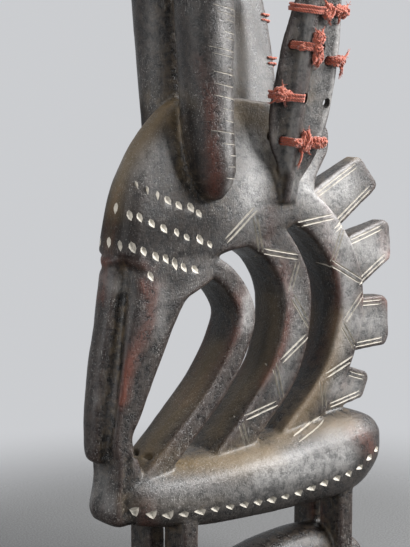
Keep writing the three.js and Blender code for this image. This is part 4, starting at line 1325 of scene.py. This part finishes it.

# Stains, painted highlights and painted shade on the wood, each a stroke by pixels of the photograph that it passes
# through, its reach in millimetres and its amount; the other side is painted the same
stainsAndPaintedLight = {
    "ochre": [
        ([(110, 212), (118, 190), (130, 150), (150, 117), (168, 104)], 6.5, 0.95),
        ([(146, 122), (160, 116), (176, 116)], 8, 0.6), ([(179, 108), (178, 145), (181, 178)], 1.2, 0.8),
        ([(240, 114), (254, 118), (268, 128)], 7, 0.9), ([(262, 138), (271, 158), (277, 178)], 2.5, 0.6),
        ([(321, 173), (336, 163), (350, 157)], 5, 0.8), ([(240, 103), (262, 106)], 3.5, 0.9),
        ([(240, 92), (242, 60), (240, 20)], 4, 0.3),
        ([(215, 350), (206, 366), (190, 398), (165, 427), (140, 455)], 7, 0.85),
        ([(266, 300), (262, 325), (252, 360), (235, 395), (215, 432)], 7, 0.7),
        ([(338, 320), (335, 345), (322, 380), (300, 412), (282, 440)], 7, 0.75),
        ([(150, 456), (190, 463), (232, 462), (268, 452)], 9, 0.9), ([(300, 432), (330, 427), (350, 422)], 7, 0.6),
        ([(108, 243), (112, 212)], 4, 0.4), ([(140, 105), (152, 92)], 3, 0.3), ([(302, 100), (312, 96)], 3, 0.4),
        ([(120, 500), (160, 505), (220, 500)], 4, 0.2),
    ],
    "mahogany": [
        ([(209, 90), (211, 130), (213, 160), (215, 192)], 4, 0.75), ([(200, 60), (206, 100)], 4, 0.3),
        ([(155, 287), (150, 325), (131, 362), (122, 399)], 4, 0.85), ([(144, 283), (150, 300)], 3, 0.8),
        ([(118, 192), (107, 225), (101, 262), (98, 300)], 2.5, 0.55),
        ([(240, 295), (238, 325), (218, 360), (185, 402)], 4, 0.45),
        ([(284, 262), (292, 300), (284, 345), (262, 380)], 4, 0.45),
        ([(326, 222), (338, 268), (334, 320), (314, 362)], 4, 0.5), ([(355, 432), (372, 448), (377, 460)], 6, 0.7),
        ([(381, 238), (387, 256)], 3.5, 0.8), ([(122, 262), (150, 268)], 4, 0.35), ([(270, 210), (268, 240)], 4, 0.3),
        ([(318, 196), (330, 220)], 4, 0.35), ([(110, 240), (108, 262)], 3, 0.5), ([(345, 385), (366, 388)], 4, 0.4),
        ([(358, 300), (386, 302)], 3.5, 0.4), ([(148, 508), (148, 523)], 5, 0.5), ([(310, 505), (312, 515)], 5, 0.5),
    ],
    # painted highlights: pale sheen painted where the light glints
    "paintedSheen": [
        ([(254, 142), (256, 172), (250, 200)], 9, 1.0), ([(268, 150), (300, 190), (325, 205)], 8, 0.8),
        ([(322, 192), (345, 184), (372, 172)], 12, 1.0), ([(345, 240), (368, 246), (384, 252)], 10, 0.85),
        ([(350, 320), (378, 322)], 10, 0.7), ([(338, 388), (356, 388)], 8, 0.6),
        ([(305, 185), (325, 205), (338, 235)], 8, 0.95), ([(345, 262), (350, 300), (340, 345)], 7, 0.6),
        ([(262, 476), (290, 470), (325, 462), (345, 455)], 9, 1.0), ([(160, 496), (230, 490), (292, 482)], 10, 0.45),
        ([(262, 60), (264, 92)], 4, 0.3), ([(229, 95), (229, 150), (228, 188)], 2.4, 0.6),
        ([(222, 8), (226, 60)], 5, 0.5), ([(312, 5), (304, 60), (296, 110), (289, 165)], 3.6, 1.0),
        ([(339, 25), (336, 60), (331, 95), (318, 140)], 2.6, 0.9),
        ([(290, 285), (300, 312), (294, 345), (278, 385)], 5, 0.45), ([(243, 280), (249, 300), (246, 322)], 5, 0.9),
        ([(136, 168), (150, 152), (166, 150)], 8, 0.3), ([(106, 280), (118, 288)], 4, 0.35),
        ([(100, 478), (107, 505)], 5, 0.35), ([(324, 30), (320, 90), (308, 135)], 6, 0.4),
        ([(152, 20), (150, 100)], 5, 0.15), ([(162, 290), (160, 330)], 4, 0.4), ([(96, 300), (96, 400)], 2, 0.3),
    ],
    # dull finish with painted shade: these places are painted darker and made less glossy
    "dullAndShade": [
        ([(112, 225), (150, 238), (205, 225)], 14, 0.8), ([(190, 110), (194, 155), (200, 192)], 5, 0.9),
        ([(285, 30), (279, 75), (280, 125)], 3.5, 0.8), ([(125, 262), (180, 280)], 9, 0.6),
        ([(238, 10), (242, 60), (243, 98)], 5.5, 1.0), ([(252, 10), (262, 50), (264, 90)], 6, 0.35),
        ([(212, 300), (222, 345), (190, 385)], 5, 0.2), ([(262, 285), (268, 330), (240, 375)], 5, 0.2),
        ([(312, 240), (318, 290), (308, 350)], 5, 0.15),
    ],
    # rays from each point that tell how shut in it is, and how far they reach
    "rays": 12,
    "rayReach": 34,
    # how far a point stands out where wear starts, and over how much more it is full
    "wornFrom": 0.12,
    "wornOver": 0.6,
}


def paintFacts(made):
    # how worn, hollow and stained each point is, and where highlights and shade are painted on it, for the finish to
    # read
    mesh = made.data
    places, edges = readMesh(mesh)
    normals = normalsOf(mesh)
    finder = KDTree(len(surfacePlaces))
    for number, place in enumerate(surfacePlaces):
        finder.insert(place, number)
    finder.balance()
    bend = surfaceBend[[finder.find(place)[1] for place in places]]
    facts = {"worn": np.clip((bend - stainsAndPaintedLight["wornFrom"]) / stainsAndPaintedLight["wornOver"], 0, 1) ** 0.8}

    tree = surfaceTree(made)
    ways = []
    for number in range(stainsAndPaintedLight["rays"]):
        height = (number + 0.6) / stainsAndPaintedLight["rays"]
        turn = number * math.pi * (3 - math.sqrt(5))
        ways.append((math.cos(turn) * math.sqrt(1 - height ** 2), math.sin(turn) * math.sqrt(1 - height ** 2), height))
    reach = stainsAndPaintedLight["rayReach"] * mm
    shut = np.zeros(len(places))
    for number, (place, normal) in enumerate(zip(places, normals)):
        place, normal = Vector(place), Vector(normal)
        turn = normal.to_track_quat("Z", "Y")
        start = place + normal * 0.5 * mm
        for way in ways:
            gap = tree.ray_cast(start, turn @ Vector(way), reach)[3]
            if gap is not None:
                shut[number] += 1 - gap / reach
    shut /= stainsAndPaintedLight["rays"]
    facts["hollow"] = np.clip(shut * 1.6 + np.clip(-bend, 0, 1) * 0.5, 0, 1)
    for name in factNames[2:]:
        facts[name] = np.zeros(len(places))
        for through, reach, amount in stainsAndPaintedLight[name]:
            found = [hit for hit in (fromPhoto(tree, pixel) for pixel in through) if hit[0] is not None]
            rows = np.array([[*place, *normal] for place, normal in found])
            line = np.concatenate([np.linspace(*ends, 9) for ends in zip(rows, [*rows[1:], rows[-1]])])
            for side in (1, -1):
                spots, facing = line[:, :3] * (1, side, 1), line[:, 3:] * (1, side, 1)
                around = 2.2 * reach * mm
                close = np.where(np.all((places > spots.min(axis=0) - around) & (places < spots.max(axis=0) + around),
                                        axis=1))[0]
                gaps = np.linalg.norm(places[close][:, None] - spots[None], axis=2)
                nearest = gaps.argmin(axis=1)
                alike = np.clip((normals[close] * facing[nearest]).sum(axis=1) * 1.6 - 0.2, 0, 1)
                strength = amount * np.exp(-(gaps.min(axis=1) / (reach * mm)) ** 2) * alike
                facts[name][close] = np.maximum(facts[name][close], strength)
    for name, values in facts.items():
        attribute = mesh.attributes.new(name, "FLOAT", "POINT")
        attribute.data.foreach_set("value", values.astype(np.float32))


paintFacts(wood)
for face in wood.data.polygons:
    face.use_smooth = True
wood.data.set_sharp_from_angle(angle=math.radians(38))
print("wood painted")

wood.name = "carved_wood"
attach(wood, "root")
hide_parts("carved_headdress")


redYarn = yarnFinish()
for side, hand in sides.items():
    for number in range(len(yarn["ties"][hand])):
        makeTie(side, number, redYarn)
print("yarn tied")


# Studio: pale floor that fades into a pale room, a window from the right, soft light from above and behind
studio = {
    "floor": (0.045, 0.045, 0.0445, 1), "room": (0.60, 0.61, 0.63, 1), "floorReach": (0.2, 0.46),
    "ambient": 0.5, "sky": (0.93, 0.96, 1, 1), "middle": (0, 0, 0.2),
    "lights": [
        {"name": "window", "azimuth": 52, "elevation": 33, "distance": 1.15, "size": (0.85, 0.85), "power": 60},
        {"name": "top", "azimuth": 120, "elevation": 62, "distance": 1.4, "size": (0.8, 0.8), "power": 14},
        {"name": "fill", "azimuth": -78, "elevation": 15, "distance": 2.2, "size": (1.6, 1.6), "power": 34},
    ],
}


def makeStudio():
    bm = bmesh.new()
    bmesh.ops.create_grid(bm, x_segments=2, y_segments=2, size=2)
    floor = formFrom(bm, "floor")
    paper, shader, add = materialNamed("floorPaper")
    place = add("ShaderNodeTexCoord", {}).outputs["Object"]
    away = add("ShaderNodeVectorMath", {0: place}, operation="LENGTH").outputs["Value"]
    fibres = clouds(add, place, 900, 3)
    tone = mixColour(add, stretch(add, fibres, 0.3, 0.7, 0, 0.08), studio["floor"], studio["room"])
    paper.node_tree.links.new(tone, shader.inputs["Base Color"])
    paper.node_tree.links.new(stretch(add, away, *studio["floorReach"], 1, 0), shader.inputs["Alpha"])
    shader.inputs["Roughness"].default_value = 0.8
    floor.data.materials.append(paper)
    world = bpy.data.worlds.new("room")
    world.use_nodes = True
    nodes, links = world.node_tree.nodes, world.node_tree.links
    seen, lit = nodes["Background"], nodes.new("ShaderNodeBackground")
    seen.inputs["Color"].default_value = studio["room"]
    seen.inputs["Strength"].default_value = 1.0
    lit.inputs["Color"].default_value = studio["sky"]
    lit.inputs["Strength"].default_value = studio["ambient"]
    sight, both = nodes.new("ShaderNodeLightPath"), nodes.new("ShaderNodeMixShader")
    links.new(sight.outputs["Is Camera Ray"], both.inputs[0])
    links.new(lit.outputs[0], both.inputs[1])
    links.new(seen.outputs[0], both.inputs[2])
    links.new(both.outputs[0], nodes["World Output"].inputs["Surface"])
    scene.world = world
    scene.view_settings.view_transform = "Standard"
    middle = Vector(studio["middle"])
    for lamp in studio["lights"]:
        way = wayTo(lamp["azimuth"], lamp["elevation"])
        data = bpy.data.lights.new(lamp["name"], "AREA")
        data.shape = "RECTANGLE"
        data.size, data.size_y = lamp["size"]
        data.energy = lamp["power"]
        light = bpy.data.objects.new(lamp["name"], data)
        light.location = middle + way * lamp["distance"]
        light.rotation_mode = "QUATERNION"
        light.rotation_quaternion = (-way).to_track_quat("-Z", "Y")
        scene.collection.objects.link(light)


makeStudio()
print("studio ready")
